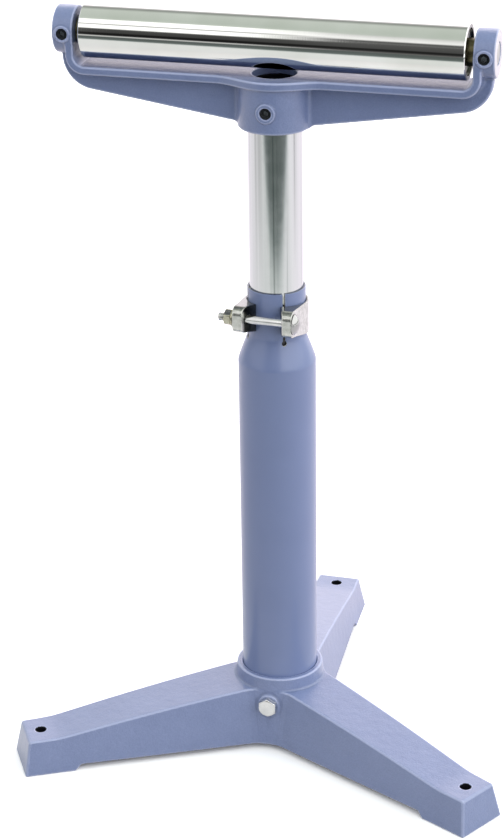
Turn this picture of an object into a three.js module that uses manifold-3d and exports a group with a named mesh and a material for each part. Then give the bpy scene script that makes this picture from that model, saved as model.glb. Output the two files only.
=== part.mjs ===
// Roller stand: a cast tripod base carries an outer tube, a clamped mast slides and swivels in its
// necked top, and a cast yoke on the mast holds a free-running roller. Millimetres, +Z up.
// Pieces are modelled about the upright axis of the mast, with the floor at z = 0, the roller along X
// and one leg pointing to +Y. The finished stand is then moved so that its footprint is centred.
import * as THREE from 'three';
import { mergeVertices } from 'three/addons/utils/BufferGeometryUtils.js';
import Module from 'manifold-3d';

// Clearances
const touch = 0.3; // between pieces that seat on each other
const slideFit = 0.35; // radial, where one piece slides or turns in another
const cutOver = 2; // how far a cutting shape reaches past the face that it cuts

// Base casting
const legReach = 268; // axis to the end of a foot, on the floor
const footHeight = 35;
const footLength = 50; // the part of a leg that stands on the floor
const footStep = 6; // rise of the underside behind the foot
const footRamp = 6; // length of that rise
const padLength = 31; // flat top over the foot
const legTipHalf = 22; // half width of the pad at its end
const legTaper = 0.03; // half width gained per millimetre towards the socket
const legRise = 28; // from the pad up to the socket
const legArch = 1.6; // crown of the sloping top
const legEdge = 4; // rounded edges of a leg
const legWall = 7;
const castDraft = 0.18; // slope of the sides and ends of the casting
const anchorHole = 5.5; // radius
const anchorInset = 22; // from the end of the foot to the hole
const socketWall = 5.2;
const socketRise = 13.4; // rim above the legs' tops
const socketDraft = 0.105;
const socketEdge = 2.5;
const socketFloor = 6; // ledge that the outer tube stands on
const socketLedge = 6; // how far the ledge reaches in under the tube
const socketBlend = 7; // fillet between the socket and the legs' tops
const crotchRadius = 34; // upright fillet between two legs

// Base bolt
const baseBoltRadius = 5;
const baseBoltRise = 42.5; // above the underside of the casting
const baseBoltFlats = 17; // across flats
const baseBoltHead = 6.4;
const baseBoltCrown = 1; // depth of the chamfer at the head's corners
const baseBoltPad = 11; // radius of the spot face
const baseBoltPadProud = 1.2;

// Mast, its guide and the outer tube
const mastRadius = 25.4;
const mastWall = 5;
const mastLength = 508;
const mastShown = 155.4; // between the collar and the hub, as it stands
const guideSeatStep = 1; // the mast is turned down by this under the bush
const guideHeight = 12.3;
const guideLead = 1.5; // chamfer at both ends
const ringGroove = 1.2; // depth below the seat
const ringHeight = 1.5;
const ringWidth = 3.7;
const ringLand = 2.5; // mast left below the groove
const ringOpening = 0.7; // radians
const tubeAnnulus = 8.6; // between the mast and the bore of the outer tube
const tubeWall = 3;
const tubeLength = 466.3;
const neckLength = 29;
const neckHandle = 4; // how far each end of the neck holds its direction
const collarLength = 46.1;
const collarWall = 1.8;
const slotWidth = 2.5;
const slotLength = 49; // from the collar's top to the middle of the relief hole
const slotEnd = 2.5; // radius of the relief hole
const slotCount = 4;
const slotTurn = -61; // degrees

// Clamp
const clampTurn = -3.7; // degrees about the mast
const clampDrop = 30; // from the collar's top to the middle of the band
const bandThickness = 2.5;
const bandHeight = 32;
const earThickness = 9.1; // at the tip
const earInset = 7.95; // inner faces of the ears at the tip, in from the band's bore
const earRootHalf = 12; // half the opening where the ears leave the bore
const earLength = 17.5; // the ears' reach beyond the band's bore
const earStraight = 17; // length of the parallel outer faces
const earHeight = 26;
const earLift = 7; // the ears stand this much higher than the band
const earCorner = 8;
const clampBoltRadius = 4;
const clampBoltStandoff = 8.7; // the bolt's axis beyond the band's bore
const clampHeadRadius = 9.9;
const clampHeadHeight = 5.2;
const clampNeckHalf = 4;
const clampNeckLength = 5;
const washerRadius = 8.5;
const washerThickness = 1.6;
const nutFlats = 14;
const nutHeight = 7;
const nutCrown = 0.65; // depth of the chamfer at the nut's corners
const threadShown = 6.2; // beyond the nut

// Roller, shaft and bearings
const rollerLength = 356;
const rollerRim = 4.1; // wall outside the bearing
const rollerWall = 5.4;
const rollerChamfer = 0.8;
const shaftRadius = 10;
const shaftRecess = 0.6; // of the shaft's ends in the bosses
const shaftFlat = 1; // depth of the flats for the set screws
const shaftFlatLength = 12;
const ballRadius = 3.2;
const ballCount = 9;
const raceWall = 1.85; // ring left behind the ball groove
const raceGap = 3.8; // between the two rings
const bearingWidth = 12;
const bearingRecess = 3; // in from the roller's end
const cageWidth = 1.4;
const cageHeight = 2.4;
const shieldThickness = 0.8;
const shieldInset = 0.6;
const spacerWall = 2.2;

// Yoke casting
const hubWall = 8.3;
const hubDraft = 0.02;
const hubEdge = 2.5;
const hubBoreDepth = 42.2;
const hubShoulder = 7.3; // flange left above the mast's end
const hubHoleLip = 4.9; // how far that shoulder covers the mast's end
const flangeThickness = 7.8;
const flangeHalf = 21.5;
const flangeEdge = 2;
const flangeSwell = 2.5; // the flange's round reaches this far past the hub
const flangeSweep = 18; // radius that leads into the round
const webHalf = 5;
const webFillet = 4;
const hubFillet = 2.5;
const webLift = 2.5; // lower edge above the hub's bottom, at the hub
const webSlope = 0.1525;
const webUpright = 16.2; // flange and web together, on the uprights
const yokeCorner = 10; // inner radius where arm and upright meet
const cornerPower = 2.4; // squareness of the outer corner
const rollerClear = 4.1; // between the roller and the arm
const rollerEndGap = 6.5; // between the roller and a boss
const bossWall = 11.7;
const bossLength = 19.5;
const bossEdge = 1.5;
const setScrewRadius = 5;
const setScrewSocket = 5; // hex key, across flats
const setScrewSocketDepth = 5;
const setScrewSink = 0.6; // below the pad
const bossPad = 7.8; // radius of the raised ring round a set screw
const hubPad = 9;
const padProud = 1;
const hubScrewRise = 20.3; // above the hub's bottom

// Fineness of round shapes
const roundSides = 36;
const ringSides = 24;
const slimSides = 18;
const smallSides = 16;
const arcSteps = 2;
const legSteps = 6;
const crotchSteps = 8;
const neckSteps = 6;
const domeSteps = 5;
const grooveSteps = 4;
const cornerSteps = 6;
const flangeShares = [1.1, 1.0, 0.9, 0.8, 0.68, 0.5, 0.25]; // stations over the flange's round

// Radii and heights that follow from the sizes above
const mastBore = mastRadius - mastWall;
const guideSeat = mastRadius - guideSeatStep;
const tubeBore = mastRadius + tubeAnnulus;
const tubeRadius = tubeBore + tubeWall;
const collarBore = mastRadius + slideFit;
const collarRadius = collarBore + collarWall;
const socketBore = tubeRadius + touch;
const socketRim = socketBore + socketWall;
const legTop = footHeight + legRise;
const socketTop = legTop + socketRise;
const socketFoot = socketRim + socketDraft * (socketTop - footStep);
const tubeSeat = footStep + socketFloor;
const tubeBottom = tubeSeat + touch;
const collarTop = tubeBottom + tubeLength;
const hubBottom = collarTop + mastShown;
const hubRadius = mastRadius + touch + hubWall;
const mastTop = hubBottom + hubBoreDepth - touch;
const mastBottom = mastTop - mastLength;
const flangeTop = hubBottom + hubBoreDepth + hubShoulder;
const pitchRadius = shaftRadius + 2 * touch + raceWall + ballRadius;
const bearingRadius = pitchRadius + ballRadius + touch + raceWall;
const rollerRadius = bearingRadius + touch + rollerRim;
const rollerHeight = flangeTop + rollerClear + rollerRadius;
const rollerEnd = rollerLength / 2;
const bearingFace = rollerEnd - bearingRecess;
const bossInner = rollerEnd + rollerEndGap;
const bossOuter = bossInner + bossLength;
const bossRadius = shaftRadius + touch + bossWall;
const bossMiddle = (bossInner + bossOuter) / 2;
const bandBore = collarRadius + touch;
const clampHeight = collarTop - clampDrop;
const clampBoltAxis = [0, -(bandBore + clampBoltStandoff), earLift];
const earInner = bandBore - earInset;
const earOuter = earInner + earThickness;

const wasm = await Module();
wasm.setup();

const castEnamel = { color: 0x7585a8, roughness: 0.42, metalness: 0.0 };
const tubeEnamel = { color: 0x7383a9, roughness: 0.35, metalness: 0.0 };
const brightSteel = { color: 0xc9cbc8, roughness: 0.14, metalness: 1.0 };
const turnedSteel = { color: 0x9a9c96, roughness: 0.32, metalness: 1.0 };
const zincPlate = { color: 0xbfc2bd, roughness: 0.3, metalness: 1.0 };
const blackOxide = { color: 0x17181b, roughness: 0.45, metalness: 0.8 };
const sleeveSteel = { color: 0x6f6a4e, roughness: 0.4, metalness: 0.9 };
const nylon = { color: 0xe4e2d8, roughness: 0.55, metalness: 0.0 };

// A closed three.js geometry as a solid that can be cut and joined.
function solid(geometry) {
  const bare = geometry.clone();
  bare.deleteAttribute('normal');
  bare.deleteAttribute('uv');
  const merged = mergeVertices(bare, 1e-4);
  const corners = merged.index.array;
  const kept = [];
  for (let i = 0; i < corners.length; i += 3) {
    const [a, b, c] = [corners[i], corners[i + 1], corners[i + 2]];
    if (a !== b && b !== c && c !== a) kept.push(a, b, c);
  }
  const vertProperties = new Float32Array(merged.attributes.position.array);
  const forward = new wasm.Mesh({ numProp: 3, vertProperties, triVerts: new Uint32Array(kept) });
  const made = new wasm.Manifold(forward);
  if (made.volume() > 0) return made;
  const turnedOver = new Uint32Array(kept).reverse();
  return new wasm.Manifold(new wasm.Mesh({ numProp: 3, vertProperties, triVerts: turnedOver }));
}

function cut(body, ...tools) {
  return tools.reduce((left, tool) => left.subtract(tool), body);
}

function join(...bodies) {
  return bodies.reduce((left, body) => left.add(body));
}

function piece(name, finish, body) {
  const mesh = body.getMesh();
  const geometry = new THREE.BufferGeometry();
  geometry.setAttribute('position', new THREE.BufferAttribute(new Float32Array(mesh.vertProperties), 3));
  geometry.setIndex(new THREE.BufferAttribute(new Uint32Array(mesh.triVerts), 1));
  geometry.computeVertexNormals();
  const made = new THREE.Mesh(geometry, new THREE.MeshStandardMaterial(finish));
  made.name = name;
  return made;
}

// A profile of [radius, height] points turned about Z. It closes on itself.
function turned(profile, sides = roundSides) {
  const points = [...profile, profile[0]].map(([radius, height]) => new THREE.Vector2(radius, height));
  return solid(new THREE.LatheGeometry(points, sides).rotateX(Math.PI / 2));
}

// A profile of [radius, place] points turned about X.
function turnedX(profile, sides = roundSides) {
  return turned(profile, sides).rotate([0, 90, 0]);
}

// A rod of one radius along X, Y or Z between two places on that axis.
function rod(axis, radius, from, to, sides = roundSides) {
  const geometry = new THREE.CylinderGeometry(radius, radius, Math.abs(to - from), sides);
  if (axis === 'x') geometry.rotateZ(-Math.PI / 2);
  if (axis === 'z') geometry.rotateX(Math.PI / 2);
  const middle = (from + to) / 2;
  geometry.translate(axis === 'x' ? middle : 0, axis === 'y' ? middle : 0, axis === 'z' ? middle : 0);
  return solid(geometry);
}

// A six-sided bar along X or Y, given across its flats.
function hexBar(axis, flats, from, to) {
  return rod(axis, flats / Math.sqrt(3), from, to, 6);
}

function block(sizeX, sizeY, sizeZ, centre) {
  return solid(new THREE.BoxGeometry(sizeX, sizeY, sizeZ)).translate(centre);
}

// Points of an arc in a plane, from one angle to another.
function arc(x, y, radius, from, to, steps = arcSteps) {
  const points = [];
  for (let i = 0; i <= steps; i++) {
    const angle = from + ((to - from) * i) / steps;
    points.push([x + radius * Math.cos(angle), y + radius * Math.sin(angle)]);
  }
  return points;
}

// A closed skin through loops with equal counts of points, with flat ends.
function loft(loops, place) {
  const count = loops[0].length;
  const positions = [];
  loops.forEach((loop, station) => {
    loop.forEach((point) => positions.push(...place(point, station)));
  });
  const faces = [];
  for (let station = 0; station < loops.length - 1; station++) {
    for (let i = 0; i < count; i++) {
      const a = station * count + i;
      const b = station * count + ((i + 1) % count);
      faces.push(a, b, b + count, a, b + count, a + count);
    }
  }
  const flat = (loop) => loop.map(([x, y]) => new THREE.Vector2(x, y));
  const last = (loops.length - 1) * count;
  for (const [a, b, c] of THREE.ShapeUtils.triangulateShape(flat(loops[0]), [])) faces.push(a, c, b);
  for (const [a, b, c] of THREE.ShapeUtils.triangulateShape(flat(loops.at(-1)), [])) {
    faces.push(last + a, last + b, last + c);
  }
  const geometry = new THREE.BufferGeometry();
  geometry.setAttribute('position', new THREE.Float32BufferAttribute(positions, 3));
  geometry.setIndex(faces);
  return solid(geometry);
}

const legAngles = [90, 210, 330];
const padStart = legReach - castDraft * footHeight - padLength;

// Height of a leg's top: a flat pad, then a slope with a slight crown up to the socket.
function legTopAt(reach) {
  const climbed = THREE.MathUtils.clamp((padStart - reach) / (padStart - socketRim), 0, 1);
  return footHeight + legRise * climbed + 4 * legArch * climbed * (1 - climbed);
}

function legHalfAt(reach) {
  return legTipHalf + legTaper * Math.max(legReach - castDraft * footHeight - reach, 0);
}

// Section of a leg: drafted sides and rounded top edges, drawn across and up.
function legSection(topHalf, top, bottom, edge) {
  const lean = Math.atan(castDraft);
  const edgeIn = edge * Math.tan((Math.PI / 2 - lean) / 2);
  const bottomHalf = topHalf + castDraft * (top - bottom);
  const right = arc(topHalf - edgeIn, top - edge, edge, lean, Math.PI / 2);
  const left = right.map(([x, y]) => [-x, y]).reverse();
  return [[-bottomHalf, bottom], [bottomHalf, bottom], ...right, ...left];
}

// One leg along +X, from inside the socket to the rounded and drafted end of the foot.
function legBody() {
  const footStart = legReach - footLength;
  const stations = [];
  for (let i = 0; i <= legSteps; i++) {
    const reach = socketRim + ((footStart - footRamp - socketRim) * i) / legSteps;
    stations.push({ reach, bottom: footStep, inset: 0, lean: 0 });
  }
  stations.unshift({ reach: socketBore - socketLedge, bottom: footStep, inset: 0, lean: 0 });
  stations.push({ reach: footStart, bottom: 0, inset: 0, lean: 0 });
  stations.push({ reach: padStart, bottom: 0, inset: 0, lean: 0 });
  for (const [along, inset] of arc(legReach - legEdge, legEdge, legEdge, -Math.PI / 2, 0)) {
    stations.push({ reach: along, bottom: 0, inset, lean: castDraft });
  }
  const loops = stations.map(({ reach, bottom, inset, lean }) => {
    const along = lean ? reach - castDraft * footHeight : reach;
    return legSection(legHalfAt(along) - inset, legTopAt(along) - inset, bottom, legEdge);
  });
  return loft(loops, ([across, up], i) => [stations[i].reach - stations[i].lean * up, across, up]);
}

// The hollow under a leg, between the socket and the foot.
function legHollow() {
  const from = socketFoot + legWall / 2;
  const to = legReach - footLength - footRamp - legWall;
  const loops = [];
  const reaches = [];
  for (let i = 0; i <= legSteps; i++) {
    const reach = from + ((to - from) * i) / legSteps;
    const top = legTopAt(reach) - legWall;
    const half = legHalfAt(reach) + castDraft * legWall - legWall;
    reaches.push(reach);
    loops.push(legSection(half, top, footStep - cutOver, legEdge));
  }
  return loft(loops, ([across, up], i) => [reaches[i], across, up]);
}

// Fillet that runs from the top of a leg up the side of the socket.
function legBlend() {
  const outer = socketRim + socketBlend;
  const low = legTopAt(outer);
  const high = low + socketBlend;
  const curve = arc(outer, high, socketBlend, -Math.PI / 2, -Math.PI);
  const foot = low - socketBlend;
  const ring = turned([[socketBore, foot], [outer, foot], ...curve, [socketBore, high]]);
  const width = 2 * (legHalfAt(outer) - legEdge);
  const tall = 2 * (high - foot);
  return ring.intersect(block(outer, width, tall, [outer / 2 + socketBlend, 0, low]));
}

// Casting between two legs: it fills their corner out to an upright fillet, about the -Y direction.
function crotch() {
  const heights = [footStep, legTop - legEdge];
  const splay = Math.PI / legAngles.length;
  const loops = heights.map((height) => {
    const half = legHalfAt(socketRim) + castDraft * (legTop - height);
    const away = (half + crotchRadius) / Math.sin(splay);
    return [[0, 0], ...arc(0, -away, crotchRadius, Math.PI - splay, splay, crotchSteps)];
  });
  return loft(loops, ([x, y], i) => [x, y, heights[i]]);
}

function baseCasting() {
  const socketBody = turned([
    [0, footStep],
    [socketFoot, footStep],
    ...arc(socketRim - socketEdge, socketTop - socketEdge, socketEdge, 0, Math.PI / 2),
    [0, socketTop],
  ]);
  const padFace = baseBoltFace();
  const boltPad = rod('y', baseBoltPad, padFace, -socketBore, smallSides)
    .translate([0, 0, baseBoltHeight()]);
  let body = join(socketBody, boltPad);
  for (const angle of legAngles) {
    body = body.add(legBody().rotate([0, 0, angle]));
    body = body.add(legBlend().rotate([0, 0, angle]));
    body = body.add(crotch().rotate([0, 0, angle - 90]));
  }
  for (const angle of legAngles) {
    const anchor = rod('z', anchorHole, -cutOver, footHeight + cutOver, smallSides)
      .translate([legReach - anchorInset, 0, 0]);
    body = cut(body, legHollow().rotate([0, 0, angle]), anchor.rotate([0, 0, angle]));
  }
  const bore = rod('z', socketBore, tubeSeat, socketTop + cutOver);
  const drain = rod('z', socketBore - socketLedge, footStep - cutOver, tubeSeat + cutOver);
  const boltHole = rod('y', baseBoltRadius + touch, padFace - cutOver, 0, smallSides)
    .translate([0, 0, baseBoltHeight()]);
  return cut(body, bore, drain, boltHole);
}

function baseBoltHeight() {
  return footStep + baseBoltRise;
}

// The spot face stands a little proud of the sloping socket, on the front.
function baseBoltFace() {
  return -(socketRim + socketDraft * (socketTop - baseBoltHeight()) + baseBoltPadProud);
}

function baseBolt() {
  const face = baseBoltFace() - touch;
  const head = hexBar('y', baseBoltFlats, face - baseBoltHead, face);
  const corner = baseBoltFlats / Math.sqrt(3);
  const crown = turned([
    [0, 0],
    [baseBoltFlats / 2, 0],
    [corner, baseBoltCrown],
    [corner, baseBoltHead],
    [0, baseBoltHead],
  ], smallSides).rotate([-90, 0, 0]).translate([0, face - baseBoltHead, 0]);
  const shank = rod('y', baseBoltRadius, face - touch, -(tubeRadius + touch), smallSides);
  return join(head.intersect(crown), shank).translate([0, 0, baseBoltHeight()]);
}

// The tube narrows in a conical neck to a thin collar, slotted so that the clamp can close it.
function outerTube() {
  const neckTop = collarTop - collarLength;
  const neckBottom = neckTop - neckLength;
  const neck = (wide, narrow) => new THREE.CubicBezierCurve(
    new THREE.Vector2(wide, neckBottom),
    new THREE.Vector2(wide, neckBottom + neckHandle),
    new THREE.Vector2(narrow, neckTop - neckHandle),
    new THREE.Vector2(narrow, neckTop),
  ).getPoints(neckSteps).map((point) => [point.x, point.y]);
  const body = turned([
    [tubeBore, tubeBottom],
    [tubeRadius, tubeBottom],
    ...neck(tubeRadius, collarRadius),
    [collarRadius, collarTop],
    [collarBore, collarTop],
    ...neck(tubeBore, collarBore).reverse(),
  ]);
  const slots = [];
  for (let i = 0; i < slotCount; i++) {
    const reach = tubeRadius + cutOver;
    const tall = slotLength + cutOver;
    const foot = collarTop - slotLength;
    const slit = block(reach, slotWidth, tall, [reach / 2, 0, foot + tall / 2]);
    const relief = rod('x', slotEnd, 0, reach, smallSides / 2).translate([0, 0, foot]);
    slots.push(join(slit, relief).rotate([0, 0, slotTurn + (i * 360) / slotCount]));
  }
  return cut(body, ...slots);
}

function mast() {
  const seatTop = ringLand + ringHeight + 2 * touch + guideHeight + 2 * touch;
  const groove = guideSeat - ringGroove;
  const profile = [
    [mastBore, 0],
    [guideSeat, 0],
    [guideSeat, ringLand],
    [groove, ringLand],
    [groove, ringLand + ringHeight + 2 * touch],
    [guideSeat, ringLand + ringHeight + 2 * touch],
    [guideSeat, seatTop],
    [mastRadius, seatTop],
    [mastRadius, mastLength],
    [mastBore, mastLength],
  ];
  return turned(profile).translate([0, 0, mastBottom]);
}

// A plain ring with a chamfered lead at both ends.
function guideBush() {
  const bottom = mastBottom + ringLand + ringHeight + 3 * touch;
  const inner = guideSeat + slideFit;
  const outer = tubeBore - slideFit;
  return turned([
    [inner, 0],
    [outer - guideLead, 0],
    [outer, guideLead],
    [outer, guideHeight - guideLead],
    [outer - guideLead, guideHeight],
    [inner, guideHeight],
  ], ringSides).translate([0, 0, bottom]);
}

function retainingRing() {
  const inner = guideSeat - ringGroove + touch;
  const outer = inner + ringWidth;
  const shape = new THREE.Shape();
  shape.absarc(0, 0, outer, ringOpening / 2, 2 * Math.PI - ringOpening / 2, false);
  shape.absarc(0, 0, inner, 2 * Math.PI - ringOpening / 2, ringOpening / 2, true);
  const options = { depth: ringHeight, bevelEnabled: false, curveSegments: ringSides };
  return solid(new THREE.ExtrudeGeometry(shape, options)).translate([0, 0, mastBottom + ringLand + touch]);
}

// Angle at which a line from a point outside a circle touches it, on the far side from the ears.
function touchAngle(x, y, radius) {
  return Math.atan2(y, x) + Math.acos(radius / Math.hypot(x, y));
}

// Plan of the clamp: a thin band round the back of the collar that thickens into two ears. The opening
// between them widens from the bore to the tips.
function clampPlan() {
  const tip = -(bandBore + earLength);
  const root = tip + earStraight;
  const bandOuter = bandBore + bandThickness;
  const outerTouch = touchAngle(earOuter, root, bandOuter);
  const innerTouch = -Math.acos(earRootHalf / bandBore);
  const shape = new THREE.Shape();
  shape.moveTo(earOuter, tip);
  shape.lineTo(earOuter, root);
  shape.absarc(0, 0, bandOuter, outerTouch, Math.PI - outerTouch, false);
  shape.lineTo(-earOuter, root);
  shape.lineTo(-earOuter, tip);
  shape.lineTo(-earInner, tip);
  shape.absarc(0, 0, bandBore, Math.PI - innerTouch, innerTouch, true);
  shape.lineTo(earInner, tip);
  shape.closePath();
  return shape;
}

// Side view of the clamp: full height round the collar, with the ears lower, lifted and rounded.
function clampSide() {
  const tip = -(bandBore + earLength);
  const back = bandBore + bandThickness + cutOver;
  const high = earLift + earHeight / 2;
  const low = earLift - earHeight / 2;
  const shape = new THREE.Shape();
  shape.moveTo(back, -bandHeight / 2);
  shape.lineTo(back, bandHeight / 2);
  shape.lineTo(0, bandHeight / 2);
  shape.lineTo(tip + earCorner, high);
  shape.absarc(tip + earCorner, high - earCorner, earCorner, Math.PI / 2, Math.PI, false);
  shape.absarc(tip + earCorner, low + earCorner, earCorner, Math.PI, 1.5 * Math.PI, false);
  shape.lineTo(0, -bandHeight / 2);
  shape.closePath();
  return shape;
}

function clampBand() {
  const tall = bandHeight + earHeight + 2 * earLift;
  const planOptions = { depth: tall, bevelEnabled: false, curveSegments: smallSides };
  const plan = solid(new THREE.ExtrudeGeometry(clampPlan(), planOptions)).translate([0, 0, -tall / 2]);
  const width = 2 * (earOuter + bandBore);
  const sideOptions = { depth: width, bevelEnabled: false, curveSegments: arcSteps };
  const sideGeometry = new THREE.ExtrudeGeometry(clampSide(), sideOptions);
  sideGeometry.rotateX(Math.PI / 2).rotateZ(Math.PI / 2).translate(-width / 2, 0, 0);
  const side = solid(sideGeometry);
  const roundHole = rod('x', clampBoltRadius + touch, -(earOuter + cutOver), 0, smallSides);
  const squareSide = 2 * (clampNeckHalf + touch);
  const squareHole = block(earOuter + cutOver, squareSide, squareSide, [(earOuter + cutOver) / 2, 0, 0]);
  const holes = join(roundHole, squareHole).translate(clampBoltAxis);
  return cut(plan.intersect(side), holes);
}

function clampBolt() {
  const under = earOuter + touch;
  const end = -(earOuter + 3 * touch + washerThickness + nutHeight + threadShown);
  const bulge = (clampHeadRadius ** 2 + clampHeadHeight ** 2) / (2 * clampHeadHeight);
  const rim = Math.asin(clampHeadRadius / bulge);
  const dome = arc(0, clampHeadHeight - bulge, bulge, Math.PI / 2 - rim, Math.PI / 2, domeSteps);
  const head = turnedX([[0, 0], ...dome], smallSides).translate([under, 0, 0]);
  const neckSide = 2 * clampNeckHalf;
  const neck = block(clampNeckLength, neckSide, neckSide, [under + touch - clampNeckLength / 2, 0, 0]);
  const shank = rod('x', clampBoltRadius, end, under + touch, smallSides);
  return join(head, neck, shank).translate(clampBoltAxis);
}

function clampWasher() {
  const to = -(earOuter + touch);
  const disc = rod('x', washerRadius, to - washerThickness, to, smallSides);
  const hole = rod('x', clampBoltRadius + touch, to - washerThickness - cutOver, to + cutOver, smallSides);
  return cut(disc, hole).translate(clampBoltAxis);
}

function clampNut() {
  const to = -(earOuter + 2 * touch + washerThickness);
  const from = to - nutHeight;
  const corner = nutFlats / Math.sqrt(3);
  const crown = turnedX([
    [0, from],
    [nutFlats / 2, from],
    [corner, from + nutCrown],
    [corner, to - nutCrown],
    [nutFlats / 2, to],
    [0, to],
  ], smallSides);
  const hole = rod('x', clampBoltRadius + touch, from - cutOver, to + cutOver, smallSides);
  return cut(hexBar('x', nutFlats, from, to).intersect(crown), hole).translate(clampBoltAxis);
}

// Half width of the yoke's flange: straight arms that sweep out into a round over the hub.
function flangeHalfAt(x) {
  const round = hubRadius + flangeSwell;
  const sweepX = Math.sqrt((round + flangeSweep) ** 2 - (flangeHalf + flangeSweep) ** 2);
  const meetX = (sweepX * round) / (round + flangeSweep);
  const away = Math.abs(x);
  if (away >= sweepX) return flangeHalf;
  if (away <= meetX) return Math.sqrt(round ** 2 - away ** 2);
  return flangeHalf + flangeSweep - Math.sqrt(flangeSweep ** 2 - (sweepX - away) ** 2);
}

// T section of the yoke: [across, depth from the inner face], with a fillet between flange and web.
function yokeSection(half, depth) {
  const quarter = Math.PI / 2;
  const rim = webHalf - flangeEdge;
  const right = [
    ...arc(half - flangeEdge, flangeEdge, flangeEdge, -quarter, 0),
    ...arc(half - flangeEdge, flangeThickness - flangeEdge, flangeEdge, 0, quarter),
    ...arc(webHalf + webFillet, flangeThickness + webFillet, webFillet, -quarter, -2 * quarter),
    ...arc(rim, depth - flangeEdge, flangeEdge, 0, quarter),
  ];
  return [...right, ...right.map(([x, y]) => [-x, y]).reverse()];
}

// The T section follows a U: down one upright, round the corner, along the arms and up again.
// The web deepens towards the hub and turns the outer corner on a squared ellipse.
function yokeArms() {
  const cornerX = bossInner - yokeCorner;
  const cornerZ = flangeTop + yokeCorner;
  const webAtHub = flangeTop - hubBottom - webLift;
  const webDepthAt = (x) => webAtHub - webSlope * Math.max(x - hubRadius, 0);
  const sideReach = yokeCorner + webUpright;
  const lowReach = yokeCorner + webDepthAt(cornerX);
  const half = [{ x: bossInner, z: rollerHeight, outX: 1, outZ: 0, depth: webUpright }];
  for (let i = 0; i <= cornerSteps; i++) {
    const angle = (Math.PI / 2) * (i / cornerSteps);
    const [outX, outZ] = [Math.cos(angle), -Math.sin(angle)];
    const squared = (outX / sideReach) ** cornerPower + (-outZ / lowReach) ** cornerPower;
    const depth = squared ** (-1 / cornerPower) - yokeCorner;
    half.push({ x: cornerX + yokeCorner * outX, z: cornerZ + yokeCorner * outZ, outX, outZ, depth });
  }
  const round = hubRadius + flangeSwell;
  for (const share of flangeShares) {
    const x = round * share;
    half.push({ x, z: flangeTop, outX: 0, outZ: -1, depth: webDepthAt(x) });
  }
  const middle = { x: 0, z: flangeTop, outX: 0, outZ: -1, depth: webDepthAt(0) };
  const mirrored = half.map((station) => ({ ...station, x: -station.x, outX: -station.outX }));
  const path = [...mirrored, middle, ...half.reverse()];
  const loops = path.map(({ x, outX, depth }) => yokeSection(outX ? flangeHalf : flangeHalfAt(x), depth));
  return loft(loops, ([across, depth], i) => {
    const { x, z, outX, outZ } = path[i];
    return [x + outX * depth, -across, z + outZ * depth];
  });
}

function yokeHub() {
  const top = flangeTop - flangeThickness;
  const shoulder = hubRadius - hubDraft * (top - hubBottom);
  return turned([
    [0, hubBottom],
    ...arc(hubRadius - hubEdge, hubBottom + hubEdge, hubEdge, -Math.PI / 2, 0),
    ...arc(shoulder + hubFillet, top - hubFillet, hubFillet, Math.PI, Math.PI / 2),
    [shoulder, flangeTop - flangeEdge],
    [0, flangeTop - flangeEdge],
  ]);
}

function yokeBoss(side) {
  const body = turnedX([
    [0, bossInner],
    [bossRadius - bossEdge, bossInner],
    [bossRadius, bossInner + bossEdge],
    [bossRadius, bossOuter - bossEdge],
    [bossRadius - bossEdge, bossOuter],
    [0, bossOuter],
  ], ringSides);
  const pad = rod('y', bossPad, -(bossRadius + padProud), 0, smallSides).translate([bossMiddle, 0, 0]);
  const made = join(body, pad).translate([0, 0, rollerHeight]);
  return side > 0 ? made : made.mirror([1, 0, 0]);
}

function yokeCasting() {
  const hubPadBody = rod('y', hubPad, -(hubRadius + padProud), 0, smallSides)
    .translate([0, 0, hubBottom + hubScrewRise]);
  const body = join(yokeArms(), yokeHub(), hubPadBody, yokeBoss(-1), yokeBoss(1));
  const bore = rod('z', mastRadius + touch, hubBottom - cutOver, hubBottom + hubBoreDepth);
  const hole = rod('z', mastRadius - hubHoleLip, hubBottom, flangeTop + cutOver);
  const shaftBore = rod('x', shaftRadius + touch, -(bossOuter + cutOver), bossOuter + cutOver)
    .translate([0, 0, rollerHeight]);
  const screwRoom = setScrewRadius + touch;
  const screwHole = (reach) => rod('y', screwRoom, -(reach + padProud + cutOver), 0, smallSides);
  const bossHole = screwHole(bossRadius).translate([0, 0, rollerHeight]);
  return cut(
    body,
    bore,
    hole,
    shaftBore,
    screwHole(hubRadius).translate([0, 0, hubBottom + hubScrewRise]),
    bossHole.translate([bossMiddle, 0, 0]),
    bossHole.translate([-bossMiddle, 0, 0]),
  );
}

// Headless screw along Y with a hex socket in its outer end.
function setScrew(outerFace, innerFace) {
  const outer = -(outerFace - setScrewSink);
  const body = rod('y', setScrewRadius, outer, -innerFace, smallSides);
  return cut(body, hexBar('y', setScrewSocket, outer - cutOver, outer + setScrewSocketDepth));
}

function rollerShaft() {
  const end = bossOuter - shaftRecess;
  const body = rod('x', shaftRadius, -end, end, 2 * smallSides);
  const flatY = -(shaftRadius - shaftFlat);
  const flatMiddle = [bossMiddle, flatY - shaftRadius / 2, 0];
  const flat = block(shaftFlatLength, shaftRadius, 2 * shaftRadius, flatMiddle);
  return cut(body, flat, flat.mirror([1, 0, 0])).translate([0, 0, rollerHeight]);
}

function rollerTube() {
  const bore = rollerRadius - rollerWall;
  const seat = bearingRadius + touch;
  const shoulder = bearingFace - bearingWidth - touch;
  const body = turnedX([
    [bore, -shoulder],
    [bore, shoulder],
    [seat, shoulder],
    [seat, rollerEnd],
    [rollerRadius - rollerChamfer, rollerEnd],
    [rollerRadius, rollerEnd - rollerChamfer],
    [rollerRadius, rollerChamfer - rollerEnd],
    [rollerRadius - rollerChamfer, -rollerEnd],
    [seat, -rollerEnd],
    [seat, -shoulder],
  ]);
  return body.translate([0, 0, rollerHeight]);
}

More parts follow.
